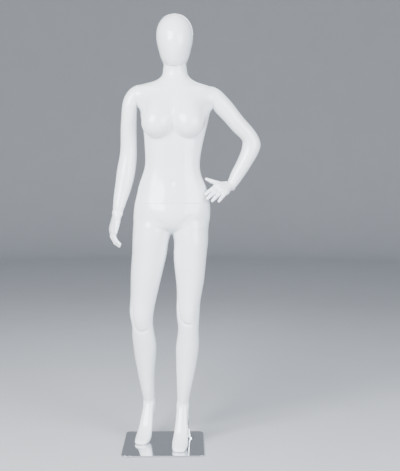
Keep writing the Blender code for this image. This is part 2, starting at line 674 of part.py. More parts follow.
def make_torso_shell(skin):
    """Make the hollow torso, open at the waist, the shoulders and the neck."""
    seam = TRUNK[0][0]
    bottom = seam + GAP / 2 / FIGURE_SCALE
    shell = loft("torso_shell", column_rings(TRUNK, bottom, TRUNK[-1][0], 0, 28, 2.25), skin)
    face_gap = GAP / 2 / FIGURE_SCALE
    right_end, left_end = YOKE[0][0] + face_gap, YOKE[-1][0] - face_gap
    parts = [loft("yoke", yoke_rings(0, 20, right_end, left_end)),
             neck_slab("neck", None, -GAP / 2, 0, 20)]
    parts += [ellipsoid(f"breast_{i}", *breast, 0) for i, breast in enumerate(BREASTS)]
    combine(shell, parts, 'UNION')
    floor_ring = column_ring(TRUNK, bottom, SHELL_WALL, 20, 2.25)
    rings = [[p - Vector((0, 0, OVERCUT)) for p in floor_ring]]
    rings += column_rings(TRUNK, bottom, TRUNK[-1][0] - 0.006, SHELL_WALL, 20, 2.25)
    inner = yoke_rings(SHELL_WALL, 16, right_end, left_end)
    inner.insert(0, [p - Vector((OVERCUT, 0, 0)) for p in inner[0]])
    inner.append([p + Vector((OVERCUT, 0, 0)) for p in inner[-1]])
    cavities = [loft("trunk_cavity", rings), loft("yoke_cavity", inner),
                neck_slab("neck_cavity", None, OVERCUT, SHELL_WALL, 16)]
    cavities += [ellipsoid(f"breast_cavity_{i}", *breast, SHELL_WALL) for i, breast in enumerate(BREASTS)]
    combine(shell, cavities, 'DIFFERENCE')


def make_waist_spigot(wood, steel, zinc):
    """Make the torso's waist board and the square spigot fixed to it."""
    bottom = TRUNK[0][0] + GAP / FIGURE_SCALE
    board_high = bottom + BOARD_THICKNESS / FIGURE_SCALE
    board = loft("waist_upper_board",
                 column_rings(TRUNK, bottom, board_high, SHELL_WALL + BOARD_CLEARANCE, 20, 2.25), wood)
    centre = waist_centre()
    under, over = figure_point(0, 0, bottom).z, figure_point(0, 0, board_high).z
    half = WAIST_SPIGOT_SIDE / 2
    half_hole = half + GAP
    combine(board, [box("spigot_hole", (centre.x - half_hole, centre.y - half_hole, under - OVERCUT),
                        (centre.x + half_hole, centre.y + half_hole, over + OVERCUT))], 'DIFFERENCE')
    plate_half = half + 0.016
    flange_low, flange_high = over + GAP, over + GAP + FLANGE_PLATE_THICKNESS
    spigot = box("waist_spigot", (centre.x - plate_half, centre.y - plate_half, flange_low),
                 (centre.x + plate_half, centre.y + plate_half, flange_high), steel)
    tip = figure_point(0, 0, TRUNK[0][0]).z - WAIST_SPIGOT_LENGTH
    post = box("post", (centre.x - half, centre.y - half, tip),
               (centre.x + half, centre.y + half, flange_low + FLANGE_PLATE_THICKNESS / 2))
    hollow = half - TUBE_WALL
    post_bore = box("post_bore", (centre.x - hollow, centre.y - hollow, tip - OVERCUT),
                    (centre.x + hollow, centre.y + hollow, flange_low))
    up = Vector((0, 0, 1))
    holes = [Vector((centre.x + sx * (half + 0.008), centre.y + sy * (half + 0.008), flange_high))
             for sx in (-1, 1) for sy in (-1, 1)]
    combine(spigot, [post], 'UNION')
    combine(spigot, [post_bore, screw_holes("spigot_holes", holes, up, OVERCUT, OVERCUT)], 'DIFFERENCE')
    combine(board, [screw_holes("spigot_pilots", holes, up, WOOD_SCREW_LENGTH + 0.001, 0.001)], 'DIFFERENCE')
    pan_head_screws("waist_spigot_screw", holes, up, zinc)


def make_shoulder_fitting(side, wood, steel, zinc):
    """Make one shoulder board with its keyhole plate and screws."""
    face, out = shoulder_point(side)
    thickness = BOARD_THICKNESS / FIGURE_SCALE
    face_x = (face - out * GAP).x / FIGURE_SCALE
    inner_x = face_x - math.copysign(thickness, out.x)
    board = loft(f"{side}_shoulder_board",
                 yoke_rings(SHELL_WALL + BOARD_CLEARANCE, 16, min(face_x, inner_x), max(face_x, inner_x)), wood)
    up = Vector((0, 0, 1))
    deep = Vector((0, 1, 0))
    slot_radius = STUD_DIAMETER / 2 + SLIDING_CLEARANCE
    entry_radius = STUD_HEAD_DIAMETER / 2 + SLIDING_CLEARANCE
    plate_face = face - out * GAP
    plate_back = plate_face - out * KEYHOLE_PLATE_THICKNESS
    high = KEYHOLE_DROP + entry_radius + 0.0035
    low = STUD_HEAD_DIAMETER / 2 + 0.010
    wide = entry_radius + 0.0055
    span = deep * wide
    plate = box(f"{side}_keyhole_plate", *box_corners(plate_back - span - up * low, plate_face + span + up * high),
                steel)
    entry = cylinder(f"{side}_entry", plate_back + up * KEYHOLE_DROP - out * OVERCUT,
                     plate_face + up * KEYHOLE_DROP + out * OVERCUT, entry_radius, 24)
    seat = cylinder(f"{side}_seat", plate_back - out * OVERCUT, plate_face + out * OVERCUT, slot_radius, 24)
    slot = box(f"{side}_slot", *box_corners(plate_back - out * OVERCUT - deep * slot_radius,
                                            plate_face + out * OVERCUT + deep * slot_radius + up * KEYHOLE_DROP))
    holes = [plate_face - up * (low - 0.005) + deep * (sy * (wide - 0.0055)) for sy in (-1, 1)]
    combine(plate, [entry, seat, slot, screw_holes(f"{side}_plate_holes", holes, out, OVERCUT, OVERCUT)],
            'DIFFERENCE')
    edge = deep * (wide + GAP)
    recess = box(f"{side}_recess", *box_corners(plate_back - out * GAP - edge - up * (low + GAP),
                                                plate_face + out * OVERCUT + edge + up * (high + GAP)))
    pocket_radius = STUD_HEAD_DIAMETER / 2 + 0.001
    pocket_floor = plate_back - out * (STUD_HEAD_THICKNESS + 0.0025)
    pocket_ends = [cylinder(f"{side}_pocket_{i}", pocket_floor + up * rise, plate_back + out * OVERCUT + up * rise,
                            pocket_radius, 24) for i, rise in enumerate((0, KEYHOLE_DROP))]
    pocket = box(f"{side}_pocket", *box_corners(pocket_floor - deep * pocket_radius,
                                                plate_back + out * OVERCUT + deep * pocket_radius
                                                + up * KEYHOLE_DROP))
    combine(board, [recess, pocket, *pocket_ends,
                    screw_holes(f"{side}_pilots", holes, out, WOOD_SCREW_LENGTH + 0.001, 0.001)],
            'DIFFERENCE')
    flush_screws(f"{side}_plate_screw", holes, out, zinc)


def box_corners(one, other):
    """Return the low and the high corner of the box between two points."""
    return (Vector([min(a, b) for a, b in zip(one, other)]), Vector([max(a, b) for a, b in zip(one, other)]))


def flush_screws(name, points, axis, paint):
    """Make screws that end level with the plate they hold."""
    radius = WOOD_SCREW_DIAMETER / 2
    for i, point in enumerate(points, start=1):
        turned(f"{name}_{i}", point, axis, ((-WOOD_SCREW_LENGTH, radius * 0.4), (-GAP, radius)), 10, paint)


def make_neck_fitting(wood, steel):
    """Make the board that closes the neck and the pin that carries the head."""
    centre, up = neck_frame()
    board_thickness = BOARD_THICKNESS * 0.8
    board = neck_slab("neck_board", -GAP - board_thickness, -GAP, SHELL_WALL + BOARD_CLEARANCE, 16, wood)
    radius = NECK_PIN_DIAMETER / 2
    combine(board, [cylinder("neck_board_hole", centre - up * 0.05, centre + up * 0.05, radius + GAP, 20)],
            'DIFFERENCE')
    under = -2 * GAP - board_thickness
    turned("neck_pin", centre, up,
           ((under - 0.003, NECK_FLANGE_DIAMETER / 2), (under, NECK_FLANGE_DIAMETER / 2), (under, radius),
            (NECK_PIN_LENGTH - 0.002, radius), (NECK_PIN_LENGTH, radius - 0.002)), 20, steel)


# ---- head --------------------------------------------------------------------
def egg_rings(inset, segments, low=0.0, high=None):
    """Return the rings of the head between two heights along its axis."""
    centre, up = neck_frame()
    forwards = Vector((0, -math.cos(HEAD_TILT), -math.sin(HEAD_TILT)))
    across = Vector((1, 0, 0))
    high = EGG[-1][0] if high is None else high
    heights = [low] + [s[0] for s in EGG if low + 0.002 < s[0] < high - 0.002] + [high]
    rings = []
    for height in heights:
        at, half, front, back = interpolate(EGG, height)
        middle = centre + up * (FIGURE_SCALE * at) + forwards * (FIGURE_SCALE * (front - back) / 2)
        half_width = FIGURE_SCALE * half - inset
        half_depth = FIGURE_SCALE * (front + back) / 2 - inset
        rings.append([middle + across * half_width * u + forwards * half_depth * v
                      for u, v in unit_section(segments, 2.0)])
    return rings


def make_head(skin, wood, nylon):
    """Make the featureless head with its base disc and the bush that turns on the pin."""
    centre, up = neck_frame()
    lift = GAP / 2 / FIGURE_SCALE
    rings = egg_rings(0, 24, lift)
    shell = loft("head_shell", rings + [closing_ring(rings[-1], up * FIGURE_SCALE * 0.004, 0.4)], skin, centre)
    hollow = egg_rings(SHELL_WALL, 16, lift, EGG[-1][0] - 0.008)
    hollow.insert(0, [p - up * OVERCUT for p in hollow[0]])
    combine(shell, [loft("head_cavity", hollow)], 'DIFFERENCE')
    thickness = BOARD_THICKNESS * 0.8 / FIGURE_SCALE
    bottom = GAP / FIGURE_SCALE
    disc = loft("head_disc", egg_rings(SHELL_WALL + BOARD_CLEARANCE, 16, bottom, bottom + thickness), wood, centre)
    bush_radius = NECK_PIN_DIAMETER / 2 + SLIDING_CLEARANCE + BUSH_WALL
    combine(disc, [cylinder("disc_hole", centre - up * 0.01, centre + up * 0.05, bush_radius + GAP, 20)],
            'DIFFERENCE')
    top = BOARD_THICKNESS * 0.8 + 2 * GAP
    bush = turned("neck_bush", centre, up,
                  ((GAP, bush_radius), (top, bush_radius), (top, bush_radius + 0.005),
                   (top + 0.002, bush_radius + 0.005), (top + 0.002, bush_radius),
                   (NECK_PIN_LENGTH + 0.002, bush_radius)), 20, nylon, centre)
    combine(bush, [cylinder("bush_bore", centre - up * OVERCUT, centre + up * (NECK_PIN_LENGTH + OVERCUT),
                            NECK_PIN_DIAMETER / 2 + SLIDING_CLEARANCE, 20)], 'DIFFERENCE')


def closing_ring(ring, lift, share):
    """Return a smaller ring above another, to round off an end."""
    middle = sum(ring, Vector()) / len(ring)
    return [middle + (point - middle) * share + lift for point in ring]


# ---- arms and hands ----------------------------------------------------------
def wrist_frame(side):
    """Return the wrist seam's centre and the directions across, deep and along the arm there."""
    return arm_frames(RIGHT_ARM if side == "right" else LEFT_ARM)[-1]


def make_arm(side, skin, wood, zinc, nylon):
    """Make one arm shell with its shoulder plug, stud and nut, and its wrist bush."""
    stations = RIGHT_ARM if side == "right" else LEFT_ARM
    face, out = shoulder_point(side)
    rings = arm_rings(stations, 0, 18)
    rings[0] = [p + out * GAP / 2 for p in rings[0]]
    wrist, _, _, along = wrist_frame(side)
    rings[-1] = [p - along * GAP / 2 for p in rings[-1]]
    shell = loft(f"{side}_arm_shell", rings, skin, face)
    inner = arm_rings(stations, SHELL_WALL, 14, 0, -2)
    inner.insert(0, [p - out * OVERCUT for p in inner[0]])
    bush_radius = WRIST_PEG_DIAMETER / 2 + SLIDING_CLEARANCE + BUSH_WALL * 0.6
    bush_length = WRIST_PEG_LENGTH / 2 + 0.003
    combine(shell, [loft(f"{side}_arm_cavity", inner),
                    cylinder(f"{side}_bush_hole", wrist - along * (bush_length + GAP), wrist + along * OVERCUT,
                             bush_radius + GAP, 16)], 'DIFFERENCE')

    plug = arm_plug(f"{side}_arm_plug", stations, face, out, wood)
    stud_radius = STUD_DIAMETER / 2
    combine(plug, [cylinder(f"{side}_plug_hole", face - out * OVERCUT, face + out * 0.03,
                            stud_radius + GAP, 20)], 'DIFFERENCE')
    plug_back = GAP + PLUG_THICKNESS
    head_face = -(2 * GAP + KEYHOLE_PLATE_THICKNESS)
    turned(f"{side}_shoulder_stud", face, out,
           ((head_face - STUD_HEAD_THICKNESS, STUD_HEAD_DIAMETER / 2), (head_face, STUD_HEAD_DIAMETER / 2),
            (head_face, stud_radius), (plug_back + NUT_THICKNESS + 0.002, stud_radius)), 24, zinc, face)
    nut = cylinder(f"{side}_stud_nut", face + out * (plug_back + GAP),
                   face + out * (plug_back + GAP + NUT_THICKNESS), NUT_ACROSS_FLATS / math.sqrt(3), 6, zinc, face)
    combine(nut, [cylinder(f"{side}_nut_bore", face, face + out * 0.05, stud_radius + GAP, 20)], 'DIFFERENCE')
    bush = cylinder(f"{side}_wrist_bush", wrist - along * bush_length, wrist - along * GAP, bush_radius, 16,
                    nylon, wrist)
    combine(bush, [cylinder(f"{side}_wrist_bush_bore", wrist - along * 0.05, wrist + along * OVERCUT,
                            WRIST_PEG_DIAMETER / 2 + SLIDING_CLEARANCE, 16)], 'DIFFERENCE')


def arm_plug(name, stations, face, out, paint):
    """Return the plug that fills the shoulder end of an arm, flat on both faces."""
    bm = bmesh.new()
    rings = arm_rings(stations, SHELL_WALL + BOARD_CLEARANCE, 14, 0, 4)
    rings[0] = [p + out * GAP for p in rings[0]]
    add_loft(bm, rings)
    slice_above(bm, face + out * (GAP + PLUG_THICKNESS), out)
    down = Vector((0, 0, -1))
    slice_above(bm, face + down * (FIGURE_SCALE * stations[0][5] - 2 * SHELL_WALL), down)
    return finish(bm, name, paint, face)


def hand_matrix(side):
    """Return the frame of one hand: thumb side or its opposite, reach and back of hand."""
    wrist = wrist_frame(side)[0]
    if side == "left":
        reach = Vector((-0.54, -0.80, -0.22)).normalized()
        back = Vector((0.43, -0.45, 0.78))
    else:
        reach = Vector((-0.215, -0.06, -0.975)).normalized()
        back = Vector((-0.93, -0.30, 0.20))
    back = (back - reach * back.dot(reach)).normalized()
    across = reach.cross(back)
    matrix = Matrix((across, reach, back)).transposed().to_4x4()
    return Matrix.Translation(wrist) @ matrix


def tube_rings(points, radii, segments=8):
    """Return rings along a chain of points, with a small last ring as a rounded tip."""
    rings = []
    for i, (point, radius) in enumerate(zip(points, radii)):
        along = (points[min(i + 1, len(points) - 1)] - points[max(i - 1, 0)]).normalized()
        turn = along.to_track_quat('Z', 'Y').to_matrix()
        rings.append([point + turn @ Vector((radius * u, radius * v, 0)) for u, v in unit_section(segments, 2.0)])
    tip_along = (points[-1] - points[-2]).normalized()
    rings.append(closing_ring(rings[-1], tip_along * radii[-1] * 0.7, 0.45))
    return rings


def finger_points(across, reach, splay, length, curl, thumb_sign):
    """Return the joints of one finger in the hand's own frame."""
    points = [Vector((thumb_sign * across, reach - 0.012, 0.0)), Vector((thumb_sign * across, reach, 0.0))]
    bend = 0.0
    for share, turn in zip((0.44, 0.30, 0.26), curl):
        bend += math.radians(turn)
        side = thumb_sign * math.sin(math.radians(splay))
        step = Vector((side, math.cos(bend), -math.sin(bend))).normalized()
        points.append(points[-1] + step * length * share)
    return points


def make_hand(side, skin, steel):
    """Make one hand in one piece, and the peg that holds it in the forearm."""
    thumb_sign = 1 if side == "left" else -1
    curl = LEFT_CURL if side == "left" else RIGHT_CURL
    thumb = LEFT_THUMB if side == "left" else RIGHT_THUMB
    matrix = hand_matrix(side)
    wrist, wrist_across, wrist_deep, along = wrist_frame(side)

    def placed(rings):
        scaled = Matrix.Scale(FIGURE_SCALE, 4)
        return [[matrix @ (scaled @ p) for p in ring] for ring in rings]

    palm_rings = []
    for reach, breadth, thickness in (PALM[2:] if side == "left" else PALM[1:]):
        palm_rings.append([Vector((breadth * u, reach, thickness * v)) for u, v in unit_section(14, 2.4)])
    palm_rings = placed(palm_rings)
    station = (RIGHT_ARM if side == "right" else LEFT_ARM)[-1]
    seam_ring = [wrist + along * GAP / 2 + wrist_across * FIGURE_SCALE * station[4] * u
                 + wrist_deep * FIGURE_SCALE * station[5] * v for u, v in unit_section(14, 2.0)]
    seam_ring = match_ring(seam_ring, palm_rings[0])
    hand = loft(f"{side}_hand", [seam_ring] + palm_rings, skin, wrist)
    digits = []
    for i, (across, reach, splay, length, radius) in enumerate(FINGERS):
        points = finger_points(across, reach, splay, length, curl, thumb_sign)
        radii = (radius * 0.8, radius, radius * 0.95, radius * 0.88, radius * 0.72)
        digits.append(loft(f"{side}_finger_{i}", placed(tube_rings(points, radii))))
    thumb_points = [Vector((thumb_sign * x, y, z)) for x, y, z in thumb]
    digits.append(loft(f"{side}_thumb", placed(tube_rings(thumb_points, THUMB_RADII))))
    combine(hand, digits, 'UNION')
    peg_radius = WRIST_PEG_DIAMETER / 2
    half = WRIST_PEG_LENGTH / 2
    reach_in = peg_depth(side)
    combine(hand, [cylinder(f"{side}_peg_hole", wrist - along * OVERCUT, wrist + along * (reach_in + GAP),
                            peg_radius + GAP, 16)], 'DIFFERENCE')
    turned(f"{side}_wrist_peg", wrist, along,
           ((-half, peg_radius * 0.8), (-half + 0.002, peg_radius), (reach_in, peg_radius)), 16, steel, wrist)


def peg_depth(side):
    """Return how far the peg enters a hand: less where the hand turns off the forearm's line."""
    reach = hand_matrix(side).to_3x3() @ Vector((0, 1, 0))
    bend = reach.angle(wrist_frame(side)[3])
    return min(WRIST_PEG_LENGTH / 2, FIGURE_SCALE * PEG_REACH) * (1.0 if bend < math.radians(30) else 0.6)


def match_ring(ring, target):
    """Return a ring with its points started and turned to line up with a target ring."""
    count = len(ring)
    best = None
    for candidate in (ring, ring[::-1]):
        for shift in range(count):
            turned_ring = candidate[shift:] + candidate[:shift]
            cost = sum((a - b).length for a, b in zip(turned_ring, target))
            if best is None or cost < best[0]:
                best = (cost, turned_ring)
    return best[1]


def main():
    """Remove what is in the scene and build the mannequin."""
    for existing in list(bpy.data.objects):
        bpy.data.objects.remove(existing, do_unlink=True)
    skin = material("satin_white", SKIN, 0.28)
    mirror_steel = material("polished_steel", (0.80, 0.80, 0.82), 0.05, 1.0)
    steel = material("bright_steel", (0.62, 0.62, 0.64), 0.30, 1.0)
    zinc = material("zinc_plate", (0.70, 0.71, 0.72), 0.35, 1.0)
    wood = material("birch_plywood", (0.62, 0.46, 0.29), 0.65)
    nylon = material("black_nylon", (0.03, 0.03, 0.035), 0.5)
    rubber = material("black_foam", (0.02, 0.02, 0.02), 0.9)
    make_base(mirror_steel, rubber, zinc)
    make_lower_body(skin, wood, steel, zinc)
    make_torso_shell(skin)
    make_waist_spigot(wood, steel, zinc)
    for side in ("right", "left"):
        make_shoulder_fitting(side, wood, steel, zinc)
    make_neck_fitting(wood, steel)
    make_head(skin, wood, nylon)
    for side in ("right", "left"):
        make_arm(side, skin, wood, zinc, nylon)
        make_hand(side, skin, steel)


main()
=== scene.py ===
"""A full-body display mannequin in gloss white, on a polished steel base plate."""
import json
import logging
import math
from collections.abc import Callable, Sequence
from dataclasses import dataclass, field
from enum import Enum

import bmesh
import bpy
import numpy as np
from mathutils import Matrix, Vector


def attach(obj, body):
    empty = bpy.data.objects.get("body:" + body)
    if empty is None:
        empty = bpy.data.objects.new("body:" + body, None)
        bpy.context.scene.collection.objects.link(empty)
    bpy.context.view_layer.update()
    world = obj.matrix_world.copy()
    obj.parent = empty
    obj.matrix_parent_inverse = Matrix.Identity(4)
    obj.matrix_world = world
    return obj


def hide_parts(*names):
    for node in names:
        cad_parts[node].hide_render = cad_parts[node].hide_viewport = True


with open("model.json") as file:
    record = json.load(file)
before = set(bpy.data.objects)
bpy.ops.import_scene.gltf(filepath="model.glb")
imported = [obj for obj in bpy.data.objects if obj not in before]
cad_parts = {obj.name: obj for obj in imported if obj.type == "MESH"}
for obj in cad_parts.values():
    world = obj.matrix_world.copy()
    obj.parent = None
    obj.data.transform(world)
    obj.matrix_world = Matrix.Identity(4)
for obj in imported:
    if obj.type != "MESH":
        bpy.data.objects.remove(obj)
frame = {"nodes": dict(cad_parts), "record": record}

LOG = logging.getLogger("mannequin")
SOLE = 0.0061            # the soles stand this far above the floor, on the base plate
SHELL_WALL = 0.004
SEAM_GAP = 0.00015       # half of the hairline between two shells
SEAM_CHAMFER = 0.0008
CENTRE_X = 0.036         # the figure's middle at the hips

Station = tuple[float, ...]
Form = Callable[[np.ndarray], np.ndarray]


# ---- forms: how far a point lies outside a rounded body -----------------------
def joined(one: np.ndarray, other: np.ndarray, radius: float | np.ndarray) -> np.ndarray:
    """Join two forms with a fillet.

    Args:
        one: Distances to the first form.
        other: Distances to the second form.
        radius: Reach of the fillet in metres.

    Returns:
        Distances to the joined form.
    """
    overlap = np.clip(1.0 - np.abs(one - other) / radius, 0.0, None)
    return np.minimum(one, other) - overlap * overlap * radius * 0.25


def cut_away(one: np.ndarray, other: np.ndarray, radius: float) -> np.ndarray:
    """Keep what is in both forms, with a rounded edge between them.

    Args:
        one: Distances to the first form.
        other: Distances to the second form.
        radius: Reach of the rounding in metres.

    Returns:
        Distances to the common form.
    """
    return -joined(-one, -other, radius)


@dataclass(frozen=True)
class Place:
    """A spot and three directions that a form is built in."""

    origin: Sequence[float] = (0.0, 0.0, 0.0)
    across: Sequence[float] = (1.0, 0.0, 0.0)
    deep: Sequence[float] = (0.0, 1.0, 0.0)
    along: Sequence[float] = (0.0, 0.0, 1.0)

    def local(self, points: np.ndarray) -> np.ndarray:
        """Return points measured across, deep and along."""
        axes = np.array([tuple(self.across), tuple(self.deep), tuple(self.along)])
        return (points - np.array(tuple(self.origin))) @ axes.T

    def world(self, point: Sequence[float]) -> np.ndarray:
        """Return where a point given across, deep and along lies."""
        axes = np.array([tuple(self.across), tuple(self.deep), tuple(self.along)])
        return np.array(tuple(self.origin)) + np.array(point) @ axes


class Curves:
    """Smooth curves through several values at rising places."""

    STEP = 0.001

    def __init__(self, places: Sequence[float], values: Sequence[Sequence[float]], soften: float) -> None:
        """Fit the curves and lay them out in even steps.

        Args:
            places: Rising places of the given values.
            values: One row of values for each place.
            soften: Spread in metres of the smoothing along the curves.
        """
        at = np.array(places, dtype=float)
        rows = np.array(values, dtype=float)
        gaps = np.diff(at)
        count = len(at)
        system = np.eye(count)
        slopes = np.zeros_like(rows)
        for i in range(1, count - 1):
            system[i, i - 1:i + 2] = gaps[i - 1], 2.0 * (gaps[i - 1] + gaps[i]), gaps[i]
            slopes[i] = 6.0 * ((rows[i + 1] - rows[i]) / gaps[i] - (rows[i] - rows[i - 1]) / gaps[i - 1])
        bend = np.linalg.solve(system, slopes)
        self.places = np.arange(at[0], at[-1] + self.STEP, self.STEP)
        index = np.clip(np.searchsorted(at, self.places) - 1, 0, count - 2)
        gap = gaps[index][:, None]
        ahead = np.clip((self.places - at[index])[:, None], 0.0, gap)
        behind = gap - ahead
        low, high = rows[index], rows[index + 1]
        low_bend, high_bend = bend[index], bend[index + 1]
        smooth = (low_bend * behind ** 3 + high_bend * ahead ** 3) / (6.0 * gap)
        smooth += (low / gap - low_bend * gap / 6.0) * behind + (high / gap - high_bend * gap / 6.0) * ahead
        self.values = self._softened(smooth, soften)

    def _softened(self, rows: np.ndarray, soften: float) -> np.ndarray:
        """Return the rows blurred along the curve.

        Args:
            rows: Values at even steps.
            soften: Spread of the blur in metres.

        Returns:
            The blurred rows.
        """
        spread = soften / self.STEP
        reach = min(int(3 * spread), len(rows) - 1)
        if reach < 1:
            return rows
        kernel = np.exp(-0.5 * (np.arange(-reach, reach + 1) / spread) ** 2)
        kernel /= kernel.sum()
        padded = np.pad(rows, ((reach, reach), (0, 0)), mode="reflect", reflect_type="odd")
        return np.stack([np.convolve(padded[:, i], kernel, mode="valid") for i in range(rows.shape[1])], axis=1)

    def at(self, where: np.ndarray) -> list[np.ndarray]:
        """Return each curve's values at the places asked for."""
        return [np.interp(where, self.places, self.values[:, i]) for i in range(self.values.shape[1])]


class Column:
    """A form of rounded sections that stand along a straight line."""

    def __init__(self, stations: Sequence[Station], power: float = 2.0, soften: float = 0.006,
                 place: Place = Place(), domed: bool = False) -> None:
        """Fit the sections.

        Args:
            stations: Place along the line, then low and high across, low and high deep.
            power: Roundness of a section, where 2 is an ellipse and more is squarer.
            soften: Smoothing along the line in metres.
            place: The line's place and directions.
            domed: Whether the sections shrink to nothing in a dome at the ends.
        """
        self.power = power
        self.place = place
        self.domed = domed
        rows = []
        for _, low_a, high_a, low_b, high_b in stations:
            half_a, half_b = (high_a - low_a) / 2, (high_b - low_b) / 2
            if domed:
                half_a, half_b = half_a ** 2, half_b ** 2
            rows.append(((high_a + low_a) / 2, (high_b + low_b) / 2, half_a, half_b))
        self.low, self.high = stations[0][0], stations[-1][0]
        self.curves = Curves([s[0] for s in stations], rows, soften)

    def __call__(self, points: np.ndarray) -> np.ndarray:
        """Return how far each point lies outside the column.

        Args:
            points: Rows of coordinates.

        Returns:
            A distance for each row, less than 0 inside.
        """
        across, deep, along = self.place.local(points).T
        middle_a, middle_b, half_a, half_b = self.curves.at(along)
        if self.domed:
            half_a, half_b = np.sqrt(np.maximum(half_a, 1e-7)), np.sqrt(np.maximum(half_b, 1e-7))
        across, deep = across - middle_a, deep - middle_b
        radius = np.hypot(across, deep) + 1e-7
        share = (np.abs(across / half_a) ** self.power + np.abs(deep / half_b) ** self.power) ** (1 / self.power)
        side = radius - radius / np.maximum(share, 1e-7)
        return np.maximum(side, np.maximum(self.low - along, along - self.high))


class Limb:
    """A form of oval sections that follow a bent path, such as an arm."""

    STEP = 0.0025
    CHUNK = 20000
    NEARNESS = 0.04          # how much nearness counts beside lying in a section's plane

    def __init__(self, stations: Sequence[Station], side: int, run_on: float) -> None:
        """Fit the path and its sections.

        Args:
            stations: Centre, turn in degrees from level, half across and half deep.
            side: 1 for the figure's left arm and -1 for its right.
            run_on: How far the form runs on past each end.
        """
        rows = np.array(stations, dtype=float)
        first, last = rows[0].copy(), rows[-1].copy()
        first[0] -= side * run_on
        turn = math.radians(last[3])
        last[:3] += np.array((side * math.sin(turn), 0.0, -math.cos(turn))) * run_on
        last[4:] += (rows[-1, 4:] - rows[-2, 4:]) * run_on / np.linalg.norm(rows[-1, :3] - rows[-2, :3])
        rows = np.vstack((first, rows, last))
        lengths = np.concatenate(([0.0], np.cumsum(np.linalg.norm(np.diff(rows[:, :3], axis=0), axis=1))))
        curves = Curves(lengths, rows, 0.007)
        even = np.arange(0.0, lengths[-1], self.STEP)
        x, y, z, turns, self.half_a, self.half_b = curves.at(even)
        self.middle = np.stack((x, y, z), axis=1)
        turns = np.radians(turns)
        drift = np.gradient(y, self.STEP)
        along = np.stack((side * np.sin(turns), drift, -np.cos(turns)), axis=1)
        self.along = along / np.linalg.norm(along, axis=1, keepdims=True)
        self.across = np.stack((np.cos(turns), np.zeros_like(turns), side * np.sin(turns)), axis=1)
        deep = np.cross(self.along, self.across)
        self.deep = deep / np.linalg.norm(deep, axis=1, keepdims=True)

    def __call__(self, points: np.ndarray) -> np.ndarray:
        """Return how far each point lies outside the limb.

        Args:
            points: Rows of coordinates.

        Returns:
            A distance for each row, less than 0 inside.
        """
        parts = [self._near(points[i:i + self.CHUNK]) for i in range(0, len(points), self.CHUNK)]
        return np.concatenate(parts) if parts else np.zeros(0)

    def _near(self, points: np.ndarray) -> np.ndarray:
        """Return the distances of one batch of points.

        Args:
            points: Rows of coordinates.

        Returns:
            A distance for each row.
        """
        gaps = ((points[:, None, :] - self.middle[None, :, :]) ** 2).sum(axis=2) * self.NEARNESS
        gaps += (points @ self.along.T - (self.middle * self.along).sum(axis=1)) ** 2
        index = np.clip(gaps.argmin(axis=1), 1, len(self.middle) - 2)
        rows = np.arange(len(points))
        before, here, after = gaps[rows, index - 1], gaps[rows, index], gaps[rows, index + 1]
        shift = 0.5 * (before - after) / np.maximum(before - 2 * here + after, 1e-12)
        spot = np.clip(index + np.clip(shift, -1.0, 1.0), 0, len(self.middle) - 1.001)
        low = spot.astype(int)
        mix = (spot - low)[:, None]

        def between(values: np.ndarray) -> np.ndarray:
            """Return values between two steps of the path."""
            share = mix if values.ndim == 2 else mix[:, 0]
            return values[low] * (1 - share) + values[low + 1] * share

        offset = points - between(self.middle)
        across = (offset * between(self.across)).sum(axis=1)
        deep = (offset * between(self.deep)).sum(axis=1)
        over = (offset * between(self.along)).sum(axis=1)
        radius = np.hypot(across, deep) + 1e-7
        share = np.hypot(across / between(self.half_a), deep / between(self.half_b))
        side = radius - radius / np.maximum(share, 1e-7)
        ends = (index <= 1) | (index >= len(self.middle) - 2)
        return np.where(ends, np.maximum(side, np.abs(over) - 0.001), side)


class Tube:
    """A chain of round lengths whose radius changes, such as a finger or a rod."""

    def __init__(self, points: Sequence[Sequence[float]], radii: Sequence[float], blend: float = 0.002) -> None:
        """Keep the chain.

        Args:
            points: The ends of the lengths.
            radii: The radius at each end.
            blend: Fillet between two lengths.
        """
        self.points = np.array([tuple(p) for p in points], dtype=float)
        self.radii = radii
        self.blend = blend

    def __call__(self, points: np.ndarray) -> np.ndarray:
        """Return how far each point lies outside the chain.

        Args:
            points: Rows of coordinates.

        Returns:
            A distance for each row, less than 0 inside.
        """
        result = None
        for i in range(len(self.points) - 1):
            start, way = self.points[i], self.points[i + 1] - self.points[i]
            share = np.clip((points - start) @ way / (way @ way), 0.0, 1.0)
            gap = np.linalg.norm(points - start - share[:, None] * way, axis=1)
            gap -= self.radii[i] + (self.radii[i + 1] - self.radii[i]) * share
            result = gap if result is None else joined(result, gap, self.blend)
        return result


@dataclass(frozen=True)
class Ball:
    """An egg-shaped mass with three radii."""

    centre: Sequence[float]
    radii: Sequence[float]

    def __call__(self, points: np.ndarray) -> np.ndarray:
        """Return how far each point lies outside the mass."""
        offset = points - np.array(self.centre)
        length = np.linalg.norm(offset, axis=1) + 1e-7
        return length - length / np.maximum(np.linalg.norm(offset / np.array(self.radii), axis=1), 1e-7)


@dataclass(frozen=True)
class Swell:
    """A soft rise of the surface, or a hollow where the height is below 0."""

    centre: Sequence[float]
    reach: Sequence[float]
    height: float

    def __call__(self, points: np.ndarray) -> np.ndarray:
        """Return how far the surface rises at each point."""
        offset = (points - np.array(self.centre)) / np.array(self.reach)
        return self.height * np.exp(-(offset ** 2).sum(axis=1))


